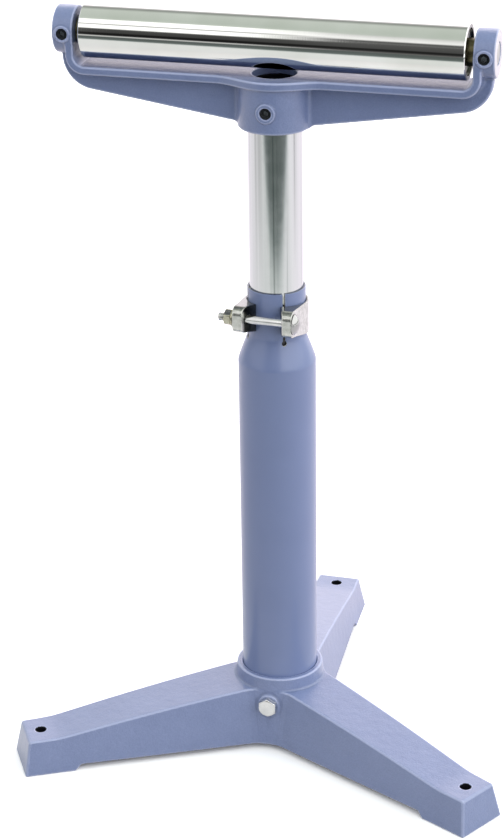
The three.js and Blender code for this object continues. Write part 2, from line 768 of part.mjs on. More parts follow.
// Rings of a bearing about X, with a groove that clears the balls.
function bearingRing(outer) {
  const land = outer ? pitchRadius + raceGap / 2 : pitchRadius - raceGap / 2;
  const back = outer ? bearingRadius : shaftRadius + touch;
  const groove = ballRadius + touch;
  const reach = Math.acos(raceGap / 2 / groove);
  const centre = outer ? 0 : Math.PI;
  const curve = arc(pitchRadius, 0, groove, centre + reach, centre - reach, grooveSteps);
  const ordered = outer ? curve : curve.reverse();
  const half = bearingWidth / 2;
  const profile = [[back, -half], [back, half], [land, half], ...ordered, [land, -half]];
  return turnedX(profile, outer ? ringSides : slimSides);
}

// Balls held in a thin cage ring, about X.
function bearingBalls() {
  const half = cageHeight / 2;
  const inner = pitchRadius - cageWidth / 2;
  const outer = pitchRadius + cageWidth / 2;
  let body = turnedX([[inner, -half], [outer, -half], [outer, half], [inner, half]], 2 * ballCount);
  for (let i = 0; i < ballCount; i++) {
    const ball = solid(new THREE.OctahedronGeometry(ballRadius, 1)).translate([0, 0, pitchRadius]);
    body = body.add(ball.rotate([(i * 360) / ballCount, 0, 0]));
  }
  return body;
}

// Thin shield carried by the outer ring, just clear of the inner ring.
function bearingShield(side) {
  const from = side * (bearingWidth / 2 - shieldInset);
  const to = from - side * shieldThickness;
  const outer = pitchRadius + raceGap / 2 - touch;
  const inner = pitchRadius - raceGap / 2 + touch;
  return turnedX([[inner, from], [outer, from], [outer, to], [inner, to]], slimSides);
}

function spacer() {
  const inner = shaftRadius + touch;
  const outer = inner + spacerWall;
  const from = bearingFace + touch;
  const to = bossInner - touch;
  return turnedX([[inner, from], [outer, from], [outer, to], [inner, to]], slimSides);
}

// The bearing and spacer at one end of the roller, mirrored for the other end.
function rollerEndPieces(name, side) {
  const middle = side * (bearingFace - bearingWidth / 2);
  const place = (body) => body.translate([middle, 0, rollerHeight]);
  const sleeve = side > 0 ? spacer() : spacer().mirror([1, 0, 0]);
  return [
    piece(`${name}_bearing_outer_ring`, turnedSteel, place(bearingRing(true))),
    piece(`${name}_bearing_inner_ring`, turnedSteel, place(bearingRing(false))),
    piece(`${name}_bearing_balls`, brightSteel, place(bearingBalls())),
    piece(`${name}_bearing_outer_shield`, turnedSteel, place(bearingShield(side))),
    piece(`${name}_bearing_inner_shield`, turnedSteel, place(bearingShield(-side))),
    piece(`${name}_spacer`, sleeveSteel, sleeve.translate([0, 0, rollerHeight])),
  ];
}

const shaftScrew = setScrew(bossRadius + padProud, shaftRadius - shaftFlat + touch)
  .translate([0, 0, rollerHeight]);
const hubScrew = setScrew(hubRadius + padProud, mastRadius + touch)
  .translate([0, 0, hubBottom + hubScrewRise]);

const clamp = new THREE.Group();
clamp.position.z = clampHeight;
clamp.rotation.z = THREE.MathUtils.degToRad(clampTurn);
clamp.add(
  piece('clamp_band', zincPlate, clampBand()),
  piece('clamp_bolt', zincPlate, clampBolt()),
  piece('clamp_washer', zincPlate, clampWasher()),
  piece('clamp_nut', zincPlate, clampNut()),
);

const base = piece('base_casting', castEnamel, baseCasting());
base.geometry.computeBoundingBox();

const stand = new THREE.Group();
stand.position.y = -base.geometry.boundingBox.getCenter(new THREE.Vector3()).y;
stand.add(
  base,
  piece('base_bolt', zincPlate, baseBolt()),
  piece('outer_tube', tubeEnamel, outerTube()),
  clamp,
  piece('mast', brightSteel, mast()),
  piece('guide_bush', nylon, guideBush()),
  piece('retaining_ring', blackOxide, retainingRing()),
  piece('yoke_casting', castEnamel, yokeCasting()),
  piece('hub_set_screw', blackOxide, hubScrew),
  piece('roller_shaft', turnedSteel, rollerShaft()),
  piece('left_shaft_set_screw', blackOxide, shaftScrew.translate([-bossMiddle, 0, 0])),
  piece('right_shaft_set_screw', blackOxide, shaftScrew.translate([bossMiddle, 0, 0])),
  piece('roller_tube', brightSteel, rollerTube()),
  ...rollerEndPieces('left', -1),
  ...rollerEndPieces('right', 1),
);

const rollerStand = new THREE.Group();
rollerStand.add(stand);

export default rollerStand;
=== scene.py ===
import math
import bmesh
import bpy
import numpy as np
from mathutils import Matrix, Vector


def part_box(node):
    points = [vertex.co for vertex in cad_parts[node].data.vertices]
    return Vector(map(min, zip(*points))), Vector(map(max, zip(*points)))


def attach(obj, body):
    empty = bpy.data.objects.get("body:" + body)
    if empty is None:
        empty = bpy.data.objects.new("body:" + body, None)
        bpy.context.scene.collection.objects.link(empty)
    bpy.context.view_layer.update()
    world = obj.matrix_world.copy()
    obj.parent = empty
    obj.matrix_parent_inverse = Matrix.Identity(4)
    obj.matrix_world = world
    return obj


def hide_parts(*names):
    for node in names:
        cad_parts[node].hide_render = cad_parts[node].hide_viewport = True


# Roller stand: cast tripod, necked tube with a clamped bright mast, cast yoke with a polished roller.
# Shapes are worked out in millimetres about the mast's upright axis, floor at z = 0, roller along x.

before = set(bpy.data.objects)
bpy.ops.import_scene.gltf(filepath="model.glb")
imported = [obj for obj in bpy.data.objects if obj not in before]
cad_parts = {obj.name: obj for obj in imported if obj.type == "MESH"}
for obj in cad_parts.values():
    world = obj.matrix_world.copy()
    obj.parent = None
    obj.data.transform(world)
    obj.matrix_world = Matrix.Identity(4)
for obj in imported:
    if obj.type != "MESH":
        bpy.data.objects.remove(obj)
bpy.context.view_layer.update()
scene = bpy.context.scene
mastLow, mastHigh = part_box("mast")
axisY = 500 * (mastLow.y + mastHigh.y)  # where the mast stands in the frame, mm
axle = 713.0  # height of the roller's axis
pi = math.pi
print("frame loaded,", len(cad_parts), "nodes")


def linear(hexText):  # sRGB hex to linear colour
    part = [int(hexText[i:i + 2], 16) / 255 for i in (1, 3, 5)]
    return [c / 12.92 if c <= 0.04045 else ((c + 0.055) / 1.055) ** 2.4 for c in part] + [1.0]


def grey(value):
    return (value, value, value, 1.0)


def addNode(tree, kind, inputs={}, **settings):  # an input is a socket to link or a plain value
    node = tree.nodes.new(kind)
    for key, value in settings.items():
        setattr(node, key, value)
    for key, value in inputs.items():
        if isinstance(value, bpy.types.NodeSocket):
            tree.links.new(value, node.inputs[key])
        else:
            node.inputs[key].default_value = value
    return node


def noise(tree, place, size, detail, roughness=0.5):  # lumps of the given size in mm
    inputs = {"Vector": place, "Scale": 1000 / size, "Detail": detail, "Roughness": roughness}
    return addNode(tree, "ShaderNodeTexNoise", inputs).outputs["Fac"]


def streaks(tree, place, scale, detail, roughness=0.5):  # noise drawn out by its own scale along each axis
    along = addNode(tree, "ShaderNodeMapping", {"Vector": place, "Scale": scale})
    return noise(tree, along.outputs[0], 1000, detail, roughness)


def ranged(tree, source, start=(0.0, 1.0), end=(0.0, 1.0), **settings):  # one range carried over to another
    inputs = {"Value": source, "From Min": start[0], "From Max": start[1], "To Min": end[0], "To Max": end[1]}
    return addNode(tree, "ShaderNodeMapRange", inputs, **settings).outputs[0]


def mixed(tree, factor, a, b, how="MIX", kind="RGBA"):
    inputs = {"Factor": factor, "A": a, "B": b}
    return addNode(tree, "ShaderNodeMix", inputs, data_type=kind, blend_type=how).outputs["Result"]


def worked(tree, operation, *terms):
    return addNode(tree, "ShaderNodeMath", dict(enumerate(terms)), operation=operation).outputs[0]


def bumped(tree, height, strength, depth):
    return addNode(tree, "ShaderNodeBump", {"Height": height, "Strength": strength, "Distance": depth}).outputs[0]


def stored(tree, name):  # a value kept with the mesh
    return addNode(tree, "ShaderNodeAttribute", attribute_name=name).outputs["Fac"]


def ramp(tree, source, stops):  # colours along a value from 0 to 1
    node = addNode(tree, "ShaderNodeValToRGB", {"Fac": source})
    marks = node.color_ramp.elements
    while len(marks) < len(stops):
        marks.new(0.5)
    for mark, (at, colour) in zip(marks, stops):
        mark.position, mark.color = at, colour
    return node.outputs["Color"]


def tones(tree, source, *stops):
    return ramp(tree, source, [(at, linear(colour)) for at, colour in stops])


def startFinish(name, metallic=0.0):  # a material with its surface shader and the place on the object
    finish = bpy.data.materials.new(name)
    finish.use_nodes = True
    tree = finish.node_tree
    tree.nodes.clear()
    shader = addNode(tree, "ShaderNodeBsdfPrincipled", {"Metallic": metallic})
    addNode(tree, "ShaderNodeOutputMaterial", {"Surface": shader.outputs[0]})
    place = addNode(tree, "ShaderNodeTexCoord").outputs["Object"]
    return finish, tree, shader, place


def endFinish(tree, shader, tone, gloss, bump=None):
    for source, socket in ((tone, "Base Color"), (gloss, "Roughness"), (bump, "Normal")):
        if source is not None:
            tree.links.new(source, shader.inputs[socket])


def roundJoin(a, b, r):  # union of two distance fields with a fillet of radius r
    return np.maximum(r, np.minimum(a, b)) - np.hypot(np.maximum(r - a, 0), np.maximum(r - b, 0))


def roundMeet(a, b, r):  # intersection of two distance fields with its edge rounded to r
    return np.minimum(-r, np.maximum(a, b)) + np.hypot(np.maximum(a + r, 0), np.maximum(b + r, 0))


def roundCut(a, b, r):  # a with b taken out, its rim rounded to r
    return roundMeet(a, -b, r)


# How surfaces are made from fields: steps in mm for the slope and the curvature, and slides on to the surface;
# for flat ground the least cosine, rings kept clear of edges, rounds of repair and the least lean of a triangle.
meshing = {"slope": 0.04, "bend": 0.8, "slides": 4, "even": 0.9998, "rings": 2, "rounds": 8, "lean": 0.3,
           "weld": 2e-6, "sharp": 32}


# Zero level of a distance field on a grid: one corner in each cell that the level crosses, at the mean of the
# crossings on the cell's edges, one quad round each crossed edge; the corners then slide down the field's slope.
# With a block given, flat ground gets one corner for each block of cells that many wide.
def levelSurface(field, low, high, step, block=None):
    low = np.array(low, float)
    count = np.ceil((np.array(high) - low) / step).astype(int) + 1
    lines = [low[k] + step * np.arange(count[k]) for k in range(3)]
    value = field(*np.meshgrid(*lines, indexing="ij", sparse=True))
    inside = value < 0
    crossings, owners, quads = [], [], []
    for axis in range(3):
        edge = np.argwhere(np.diff(inside, axis=axis))
        ahead = edge + np.eye(3, dtype=int)[axis]
        first, second = value[tuple(edge.T)], value[tuple(ahead.T)]
        point = low + step * edge
        point[:, axis] += step * first / (first - second)
        offsets = np.zeros((4, 1, 3), int)
        offsets[:, 0, (axis + 1) % 3] = (1, 0, 0, 1)
        offsets[:, 0, (axis + 2) % 3] = (1, 1, 0, 0)
        cells = np.ravel_multi_index(np.moveaxis(edge - offsets, 2, 0), count - 1).T
        quads.append(np.where((first < 0)[:, None], cells, cells[:, ::-1]))
        owners.append(cells.ravel())
        crossings.append(np.repeat(point, 4, axis=0))
    used, corner = np.unique(np.concatenate(owners), return_inverse=True)
    points = groupMean(np.concatenate(crossings), corner)
    faces = np.searchsorted(used, np.concatenate(quads))
    points, normals = settle(field, points, step)
    if block:
        points, faces = thinFlats((points - low) / (block * step), faces, normals)
        points, normals = settle(field, points * block * step + low, step)
    return points, faces, normals, fieldBend(field, points)


def groupMean(rows, group):  # mean of the rows of each group
    share = np.bincount(group)
    return np.stack([np.bincount(group, rows[:, k]) / share for k in range(3)], 1)


def settle(field, points, step):  # points moved along the slope on to the field's zero level, with unit normals
    for _ in range(meshing["slides"]):
        slope = fieldSlope(field, points)
        drop = field(*points.T) / np.maximum((slope ** 2).sum(1), 0.2)
        points = points - slope * np.clip(drop, -step, step)[:, None]
    slope = fieldSlope(field, points)
    return points, slope / np.maximum(np.linalg.norm(slope, axis=1), 1e-9)[:, None]


# Corners with no edge near them (all normals of the quads round them within about a degree, two quads out) join
# those of the same unit cube and direction at their mean. Triangles that lose a side go; where one turns over or
# two share a side the same way round, the corners there are kept apart after all.
def thinFlats(points, faces, normals):
    even = np.einsum("fck,fk->fc", normals[faces], normals[faces].mean(1)).min(1) > meshing["even"]
    for _ in range(meshing["rings"]):
        flat = np.ones(len(points), bool)
        flat[faces[~even]] = False
        even = flat[faces].all(1)
    cubes = np.concatenate([np.floor(points), np.round(1.4 * normals)], 1)
    cubes = np.unique(cubes, axis=0, return_inverse=True)[1].ravel()
    halves = np.concatenate([faces[:, :3], faces[:, [0, 2, 3]]])
    for _ in range(meshing["rounds"]):
        own = np.where(flat, len(points) + cubes, np.arange(len(points)))
        group = np.unique(own, return_inverse=True)[1].ravel()
        place, facing = groupMean(points, group), groupMean(normals, group)
        left = group[halves]
        left = left[(left != np.roll(left, 1, axis=1)).all(1)]
        a, b, c = (place[left[:, k]] for k in range(3))
        across = np.cross(b - a, c - a)
        over = (across * facing[left].mean(1)).sum(1) < meshing["lean"] * np.linalg.norm(across, axis=1)
        sides = left * len(place) + np.roll(left, -1, axis=1)
        _, which, times = np.unique(sides, return_inverse=True, return_counts=True)
        over |= (times[which.reshape(sides.shape)] > 1).any(1)
        torn = np.isin(group, left[over]) & flat
        if not torn.any():
            break
        flat &= ~torn
    used, corner = np.unique(left, return_inverse=True)
    return place[used], corner.reshape(left.shape)


def fieldSlope(field, points):  # central differences
    shifts = meshing["slope"] * np.eye(3)
    return np.stack([field(*(points + s).T) - field(*(points - s).T) for s in shifts], 1) / (2 * meshing["slope"])


def fieldBend(field, points):  # sum of both curvatures per mm, from second differences
    shifts, here = meshing["bend"] * np.eye(3), 2 * field(*points.T)
    return sum(field(*(points + s).T) + field(*(points - s).T) - here for s in shifts) / meshing["bend"] ** 2


# Closed outline with each corner replaced by an arc of its own radius, and a point on either side of the arc
# that keeps the neighbouring flats flat.
def softened(corners, radii, steps=4):
    p = np.array(corners, float)
    r = np.broadcast_to(np.asarray(radii, float), len(p))[:, None]
    back, on = np.roll(p, 1, 0) - p, np.roll(p, -1, 0) - p
    back, on = (v / np.linalg.norm(v, axis=1)[:, None] for v in (back, on))
    half = np.arccos(np.clip((back * on).sum(1), -1, 1))[:, None] / 2
    middle = p + (back + on) / np.linalg.norm(back + on, axis=1)[:, None] * r / np.sin(half)
    start, end = p + back * r / np.tan(half), p + on * r / np.tan(half)
    a, b = (np.arctan2(*(v - middle).T[::-1])[:, None] for v in (start, end))
    sweep = (b - a + pi) % (2 * pi) - pi
    angle = a + sweep * np.linspace(0, 1, steps + 1)
    bend = middle[:, None] + r[:, None] * np.stack([np.cos(angle), np.sin(angle)], 2)
    guards = ((v + w * 0.3 * r)[:, None] for v, w in ((start, back), (end, on)))
    return np.concatenate([next(guards), bend, next(guards)], 1).reshape(-1, 2)


def oblong(low, high, bottom, top):  # corners of an upright section between two radii and two heights
    return [(low, bottom), (high, bottom), (high, top), (low, top)]


def gridFaces(rows, columns, wrapRows=False):  # quads of a grid of points that closes round its columns
    i, j = np.meshgrid(np.arange(rows - (not wrapRows)), np.arange(columns), indexing="ij")
    up, side = (i + 1) % rows, (j + 1) % columns
    return np.stack([i * columns + j, i * columns + side, up * columns + side, up * columns + j], -1).reshape(-1, 4)


# Radius and height rows carried round an axis: (r cos a, r sin a, h); the radius may also change with the angle.
def spun(radius, height, sides, closed=True):
    angle = np.linspace(0, 2 * pi, sides, endpoint=False)
    radius, height = (np.asarray(v, float).reshape(len(v), -1) for v in (radius, height))
    r, h = (v + np.zeros((len(v), sides)) for v in (radius, height))
    points = np.stack([r * np.cos(angle), r * np.sin(angle), h], 2).reshape(-1, 3)
    return points, gridFaces(len(r), sides, closed)


def aboutX(points, z=axle):  # from a spin about z to one about x at height z
    return points[:, [2, 0, 1]] + [0, 0, z]


def aboutY(points, x, z):  # from a spin about z to one about y through x, z
    return points[:, [0, 2, 1]] + [x, 0, z]


def hexRadius(flats, sides):  # six flats with slightly rounded corners, as a high power mean of their six cosines
    angle = np.linspace(0, 2 * pi, sides, endpoint=False)[:, None] - np.arange(6) * pi / 3
    return flats / 2 / (np.maximum(np.cos(angle), 0) ** 48).sum(1) ** (1 / 48)


def makePiece(name, points, faces, finish, body, replaced, normals=None, marks=None, bend=None):
    mesh = bpy.data.meshes.new(name)
    mesh.from_pydata(((points + [0, axisY, 0]) / 1000).tolist(), [], [list(f) for f in faces])
    if marks is not None:  # faces with another colour: another finish, or painted shade or painted reflection
        mesh.attributes.new("mark", "FLOAT", "FACE").data.foreach_set("value", np.asarray(marks, np.float32))
    if bend is not None:  # how sharply the surface turns, for the painted highlight on edges and the painted shade in corners
        mesh.attributes.new("bend", "FLOAT", "POINT").data.foreach_set("value", bend.astype(np.float32))
    if normals is None:
        work = bmesh.new()
        work.from_mesh(mesh)
        bmesh.ops.remove_doubles(work, verts=work.verts, dist=meshing["weld"])
        bmesh.ops.recalc_face_normals(work, faces=work.faces)
        work.to_mesh(mesh)
        work.free()
        mesh.shade_smooth()
        mesh.set_sharp_from_angle(angle=math.radians(meshing["sharp"]))
    else:
        mesh.shade_smooth()
        mesh.normals_split_custom_set_from_vertices(normals.tolist())
    mesh.materials.append(finish)
    piece = bpy.data.objects.new(name, mesh)
    scene.collection.objects.link(piece)
    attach(piece, body)
    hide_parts(*replaced)
    return piece


# Camera: where the photograph was taken from, 103 mm lens on a 36 mm tall picture.
view = {"place": (0.5395, -2.0919, 1.2872), "target": (-0.0243, -0.0624, 0.3397), "roll": -0.0145, "lens": 102.97,
        "tall": 36}
camera = bpy.data.objects.new("camera", bpy.data.cameras.new("camera"))
scene.collection.objects.link(camera)
camera.data.sensor_fit = "VERTICAL"
camera.data.sensor_height = view["tall"]
camera.data.lens = view["lens"]
camera.data.dof.use_dof = False
looking = np.array(view["target"]) - view["place"]
looking /= np.linalg.norm(looking)
level = np.cross(looking, (0, 0, 1))
level /= np.linalg.norm(level)
upward = np.cross(level, looking)
c, s = math.cos(view["roll"]), math.sin(view["roll"])
turned = np.eye(4)
turned[:3, 0], turned[:3, 1] = c * level + s * upward, c * upward - s * level
turned[:3, 2], turned[:3, 3] = -looking, view["place"]
camera.matrix_world = turned.T.tolist()
scene.camera = camera
scene.view_settings.view_transform = "Standard"

# Finishes: sizes of the patterns are in mm, relief is a bump's strength and depth.
middling = (0.3, 0.7)  # where most values of a noise lie

# Gloss enamel sprayed over sand-cast iron: blue-grey, the sand's grain softened to a fine orange peel that shows
# in the highlights. Sharply turned edges are painted paler as a painted highlight, inner corners and creases darker
# as painted shade. The outer faces of the yoke's bosses are milled bare. Its flange top under the roller gets painted
# shade and less coat, where the roller shades it (mark 1); the holes in the base's pads are painted near black
# inside as painted shade (mark 1).
# The edge tone below is a painted highlight on sharply turned edges, the corner tone painted shade in inner corners,
# and the two marked tones painted shade.
enamel = {"mid": "#7584AD", "thin": "#7E8DB6", "deep": "#6C7BA4", "edge": "#A6B1D4", "corner": "#55648C",
          "rollerShadow": "#485684", "holeShade": "#15161B", "bare": "#CBCBCD", "bareGloss": 0.3, "milledFrom": 0.2037,
          "cloud": 38, "grain": 1.6, "swell": 9, "grainShare": 0.6, "swellShare": 1.6, "relief": (0.85, 0.0005),
          "gloss": (0.3, 0.42), "coatGloss": 0.28, "shadeDimmed": 0.55, "highlightBend": (0.15, 0.55), "highlightShare": (0.0, 0.9),
          "shadeBend": (-0.19, -0.42), "shadeShare": (0.0, 0.6)}


def castEnamel(name, milled, coat, marked):
    finish, tree, shader, place = startFinish(name)
    shader.inputs["Coat Roughness"].default_value = enamel["coatGloss"]
    cloud, grain = noise(tree, place, enamel["cloud"], 3.0), noise(tree, place, enamel["grain"], 2.0, 0.6)
    speckle = mixed(tree, enamel["grainShare"], cloud, grain, kind="FLOAT")
    tone = tones(tree, speckle, (0.25, enamel["deep"]), (0.5, enamel["mid"]), (0.75, enamel["thin"]))
    bend, mark = stored(tree, "bend"), stored(tree, "mark")
    # painted highlight: sharply turned edges get the pale edge tone
    thin = ranged(tree, bend, enamel["highlightBend"], enamel["highlightShare"])
    # painted shade: inner corners and creases get the dark corner tone, like the shade under the flange's lip
    cornerShade = ranged(tree, bend, enamel["shadeBend"], enamel["shadeShare"])
    for share, colour in ((thin, "edge"), (cornerShade, "corner"), (mark, marked)):
        tone = mixed(tree, share, tone, linear(enamel[colour]))
    gloss = ranged(tree, grain, middling, enamel["gloss"])
    relief = worked(tree, "MULTIPLY_ADD", noise(tree, place, enamel["swell"], 1.0), enamel["swellShare"], grain)
    # less coat where the painted shade mark lies
    tree.links.new(ranged(tree, mark, end=(coat, enamel["shadeDimmed"] * coat)), shader.inputs["Coat Weight"])
    if milled:
        across = addNode(tree, "ShaderNodeSeparateXYZ", {"Vector": place}).outputs["X"]
        bare = worked(tree, "GREATER_THAN", worked(tree, "ABSOLUTE", across), enamel["milledFrom"])
        tone = mixed(tree, bare, tone, linear(enamel["bare"]))
        gloss = mixed(tree, bare, gloss, enamel["bareGloss"], kind="FLOAT")
        tree.links.new(bare, shader.inputs["Metallic"])
    endFinish(tree, shader, tone, gloss, bumped(tree, relief, *enamel["relief"]))
    return finish


baseEnamel = castEnamel("enamelOnCastIron", False, 1.0, "holeShade")
yokeEnamel = castEnamel("enamelOnCastIronMilledBosses", True, 0.8, "rollerShadow")

# The same enamel on drawn tube: smooth and glossier, with only long soft waves in the coat. The sawn edges of the
# slots are bare (mark 0.5). The collar's rim is painted black as painted shade of the gap round the mast, and a thin
# black sheet behind the slots' round ends is painted shade where the mast would show (mark 1).
tubePaint = {"tones": ((0.1, "#7180A9"), (0.9, "#7988B1")), "sawn": "#D8D9D8", "shadeBlack": "#0E0F11", "cloud": 60,
             "peel": 3, "cloudRange": (0.1, 0.9), "gloss": (0.28, 0.33), "coat": 0.4, "coatGloss": 0.12,
             "relief": (0.05, 0.0004)}
tubeEnamel, tree, shader, place = startFinish("enamelOnDrawnTube")
shader.inputs["Coat Weight"].default_value = tubePaint["coat"]
shader.inputs["Coat Roughness"].default_value = tubePaint["coatGloss"]
cloud, peel = noise(tree, place, tubePaint["cloud"], 2.0), noise(tree, place, tubePaint["peel"], 1.0)
mark = stored(tree, "mark")
tone = tones(tree, cloud, *tubePaint["tones"])
tone = mixed(tree, worked(tree, "COMPARE", mark, 0.5, 0.1), tone, linear(tubePaint["sawn"]))
# painted shade: black on the rim and on the sheet behind the slots' round ends
tone = mixed(tree, worked(tree, "GREATER_THAN", mark, 0.75), tone, linear(tubePaint["shadeBlack"]))
gloss = ranged(tree, cloud, tubePaint["cloudRange"], tubePaint["gloss"])
endFinish(tree, shader, tone, gloss, bumped(tree, peel, *tubePaint["relief"]))

# Hard chrome on a ground roller: near mirror, with the grinder's very fine rings round it, drawn 1.2 mm apart so
# that they show; its ends are left turned and dull (mark 1).
chrome = {"tones": ((0.3, "#E2E3DE"), (0.7, "#EEEEEB")), "turned": "#6B6C64", "rings": 1.2, "smear": 45,
          "gloss": (0.03, 0.06), "relief": (0.02, 0.0002)}
rollerChrome, tree, shader, place = startFinish("groundChromedSteel", 1.0)
rings = streaks(tree, place, (1000 / chrome["rings"], 0, 0), 3.0)
tone = tones(tree, noise(tree, place, chrome["smear"], 3.0), *chrome["tones"])
tone = mixed(tree, stored(tree, "mark"), tone, linear(chrome["turned"]))
endFinish(tree, shader, tone, ranged(tree, rings, middling, chrome["gloss"]), bumped(tree, rings, *chrome["relief"]))

# Bright drawn tube: polished along the draw, with fine dark and pale streaks 2.2 mm wide and 900 mm long; the bore
# keeps its dark scale (mark 1).
drawn = {"tones": ((0.3, "#A9ADAC"), (0.38, "#D3D6D5"), (0.62, "#DADCDB"), (0.7, "#EDEEEE")), "scale": "#24252A",
         "streak": (2.2, 2.2, 900), "smear": 14, "gloss": (0.07, 0.15), "scaleGloss": 0.6, "relief": (0.1, 0.0002)}
mastSteel, tree, shader, place = startFinish("brightDrawnSteel", 1.0)
lines = streaks(tree, place, [1000 / size for size in drawn["streak"]], 3.0, 0.6)
mark = stored(tree, "mark")
tone = mixed(tree, mark, tones(tree, lines, *drawn["tones"]), linear(drawn["scale"]))
gloss = ranged(tree, noise(tree, place, drawn["smear"], 5.0, 0.65), middling, drawn["gloss"])
gloss = mixed(tree, mark, gloss, drawn["scaleGloss"], kind="FLOAT")
endFinish(tree, shader, tone, gloss, bumped(tree, lines, *drawn["relief"]))

# Steels that differ in colour, gloss and the size of their mottle: each is (dark, pale, marked, smooth, rough,
# mottle mm, relief). Marked faces get the marked colour: painted shade on the zinc, a painted reflection in the
# black oxide socket.
steels = {
    "brightZincPlate": ("#D2D3D2", "#E2E2E0", "#33342F", 0.1, 0.2, 9.0, 0.03),  # pale plate, faintly clouded
    "dullZincOnForging": ("#B4B6AF", "#DCDDD8", "#30312C", 0.16, 0.26, 3.5, 0.1),  # mottled; its marked colour is painted shade
    "yellowZincPlate": ("#A3A18D", "#CFCDBB", "#33342F", 0.12, 0.24, 3.0, 0.1),  # faintly yellow passivated plate
    "turnedBearingSteel": ("#A9ABA6", "#C4C5C0", "#77796F", 0.28, 0.36, 2.0, 0.06),  # clean turned and ground faces
    "polishedBallSteel": ("#D6D7D4", "#E4E4E1", "#D6D7D4", 0.06, 0.1, 6.0, 0.0),  # mirror balls
    "blackOxideSteel": ("#26282A", "#3C3F43", "#8D949A", 0.28, 0.38, 1.5, 0.1),  # oiled black; the socket's inside painted grey as a painted reflection
    "oiledSleeveSteel": ("#57533C", "#7A745A", "#57533C", 0.28, 0.45, 4.0, 0.08),  # dull olive oil film
}
steelDepth = 0.0003


def steelFinish(name):
    dark, pale, marked, smooth, rough, mottle, relief = steels[name]
    finish, tree, shader, place = startFinish(name, 1.0)
    cloud = noise(tree, place, mottle, 4.0)
    tone = mixed(tree, stored(tree, "mark"), tones(tree, cloud, (0.3, dark), (0.7, pale)), linear(marked))
    gloss = ranged(tree, cloud, middling, (smooth, rough))
    endFinish(tree, shader, tone, gloss, bumped(tree, cloud, relief, steelDepth))
    return finish


zincPlate, dullZinc, yellowZinc, turnedSteel, ballSteel, blackOxide, sleeveSteel = map(steelFinish, steels)

# Natural nylon, turned: waxy off-white with faint turning marks 0.8 mm apart.
waxy = {"tones": ((0.3, "#DAD7CA"), (0.7, "#EAE7DC")), "gloss": (0.4, 0.6), "rings": 0.8, "bending": 1.53}
nylon, tree, shader, place = startFinish("turnedNylon")
shader.inputs["IOR"].default_value = waxy["bending"]
rings = streaks(tree, place, (0, 0, 1000 / waxy["rings"]), 2.0)
endFinish(tree, shader, tones(tree, rings, *waxy["tones"]), ranged(tree, rings, end=waxy["gloss"]))
print("finishes ready")

# Base casting: three drafted legs, flat pads with a hole, and a conical socket that grows out of them.
castBase = {"reach": 268.0, "padStart": 230.7, "padHeight": 35.0, "rise": 28.0, "crown": 6.4, "crease": 0.04,
            "tipHalf": 22.0, "taperFrom": 261.7, "taper": 0.03, "draft": 0.18, "edge": 1.6, "tipEdge": 2.5,
            "footStart": 218.0, "footStep": 6.0, "ramp": 6.0, "footEdge": 1.2, "rim": 42.5, "rimTop": 76.4,
            "rimEdge": 1.6, "cone": 0.105, "sunk": 1.5, "bore": 37.3, "ledge": 12.0, "drain": 31.3, "boreEdge": 0.8,
            "crotch": 8.0, "blend": 2.6, "hole": 5.5, "holeReach": 246.0, "holeEdge": 0.7, "boltHeight": 48.5,
            "boltFace": -46.63, "boltPad": 10.4, "padEdge": 0.8, "padBlend": 4, "boltBore": 5.3, "boltEdge": 0.4,
            "wall": 7.0, "sideWall": 5.74, "pocket": (53.4, 205.0), "pocketRound": 4, "pocketEdge": 1.2,
            "box": ((-250, -162, -2), (250, 272, 79)), "step": 1.15, "block": 3}


def legTop(u):  # flat pad, then a slope with a slight crown up to the socket
    climbed = (castBase["padStart"] - u) / (castBase["padStart"] - castBase["rim"])
    climbed = np.minimum((climbed + np.hypot(climbed, castBase["crease"])) / 2, 1)
    return castBase["padHeight"] + castBase["rise"] * climbed + castBase["crown"] * climbed * (1 - climbed)


def legHalf(u):  # half width at the top, wider towards the socket
    return castBase["tipHalf"] + castBase["taper"] * np.maximum(castBase["taperFrom"] - u, 0)


def onLeg(x, y):  # distance from the axis, turn from the nearest leg, place along that leg and off its middle
    away = np.hypot(x, y)
    turn = (np.arctan2(y, x) - pi / 6) % (2 * pi / 3) - pi / 3
    return away, turn, away * np.cos(turn), np.abs(away * np.sin(turn))


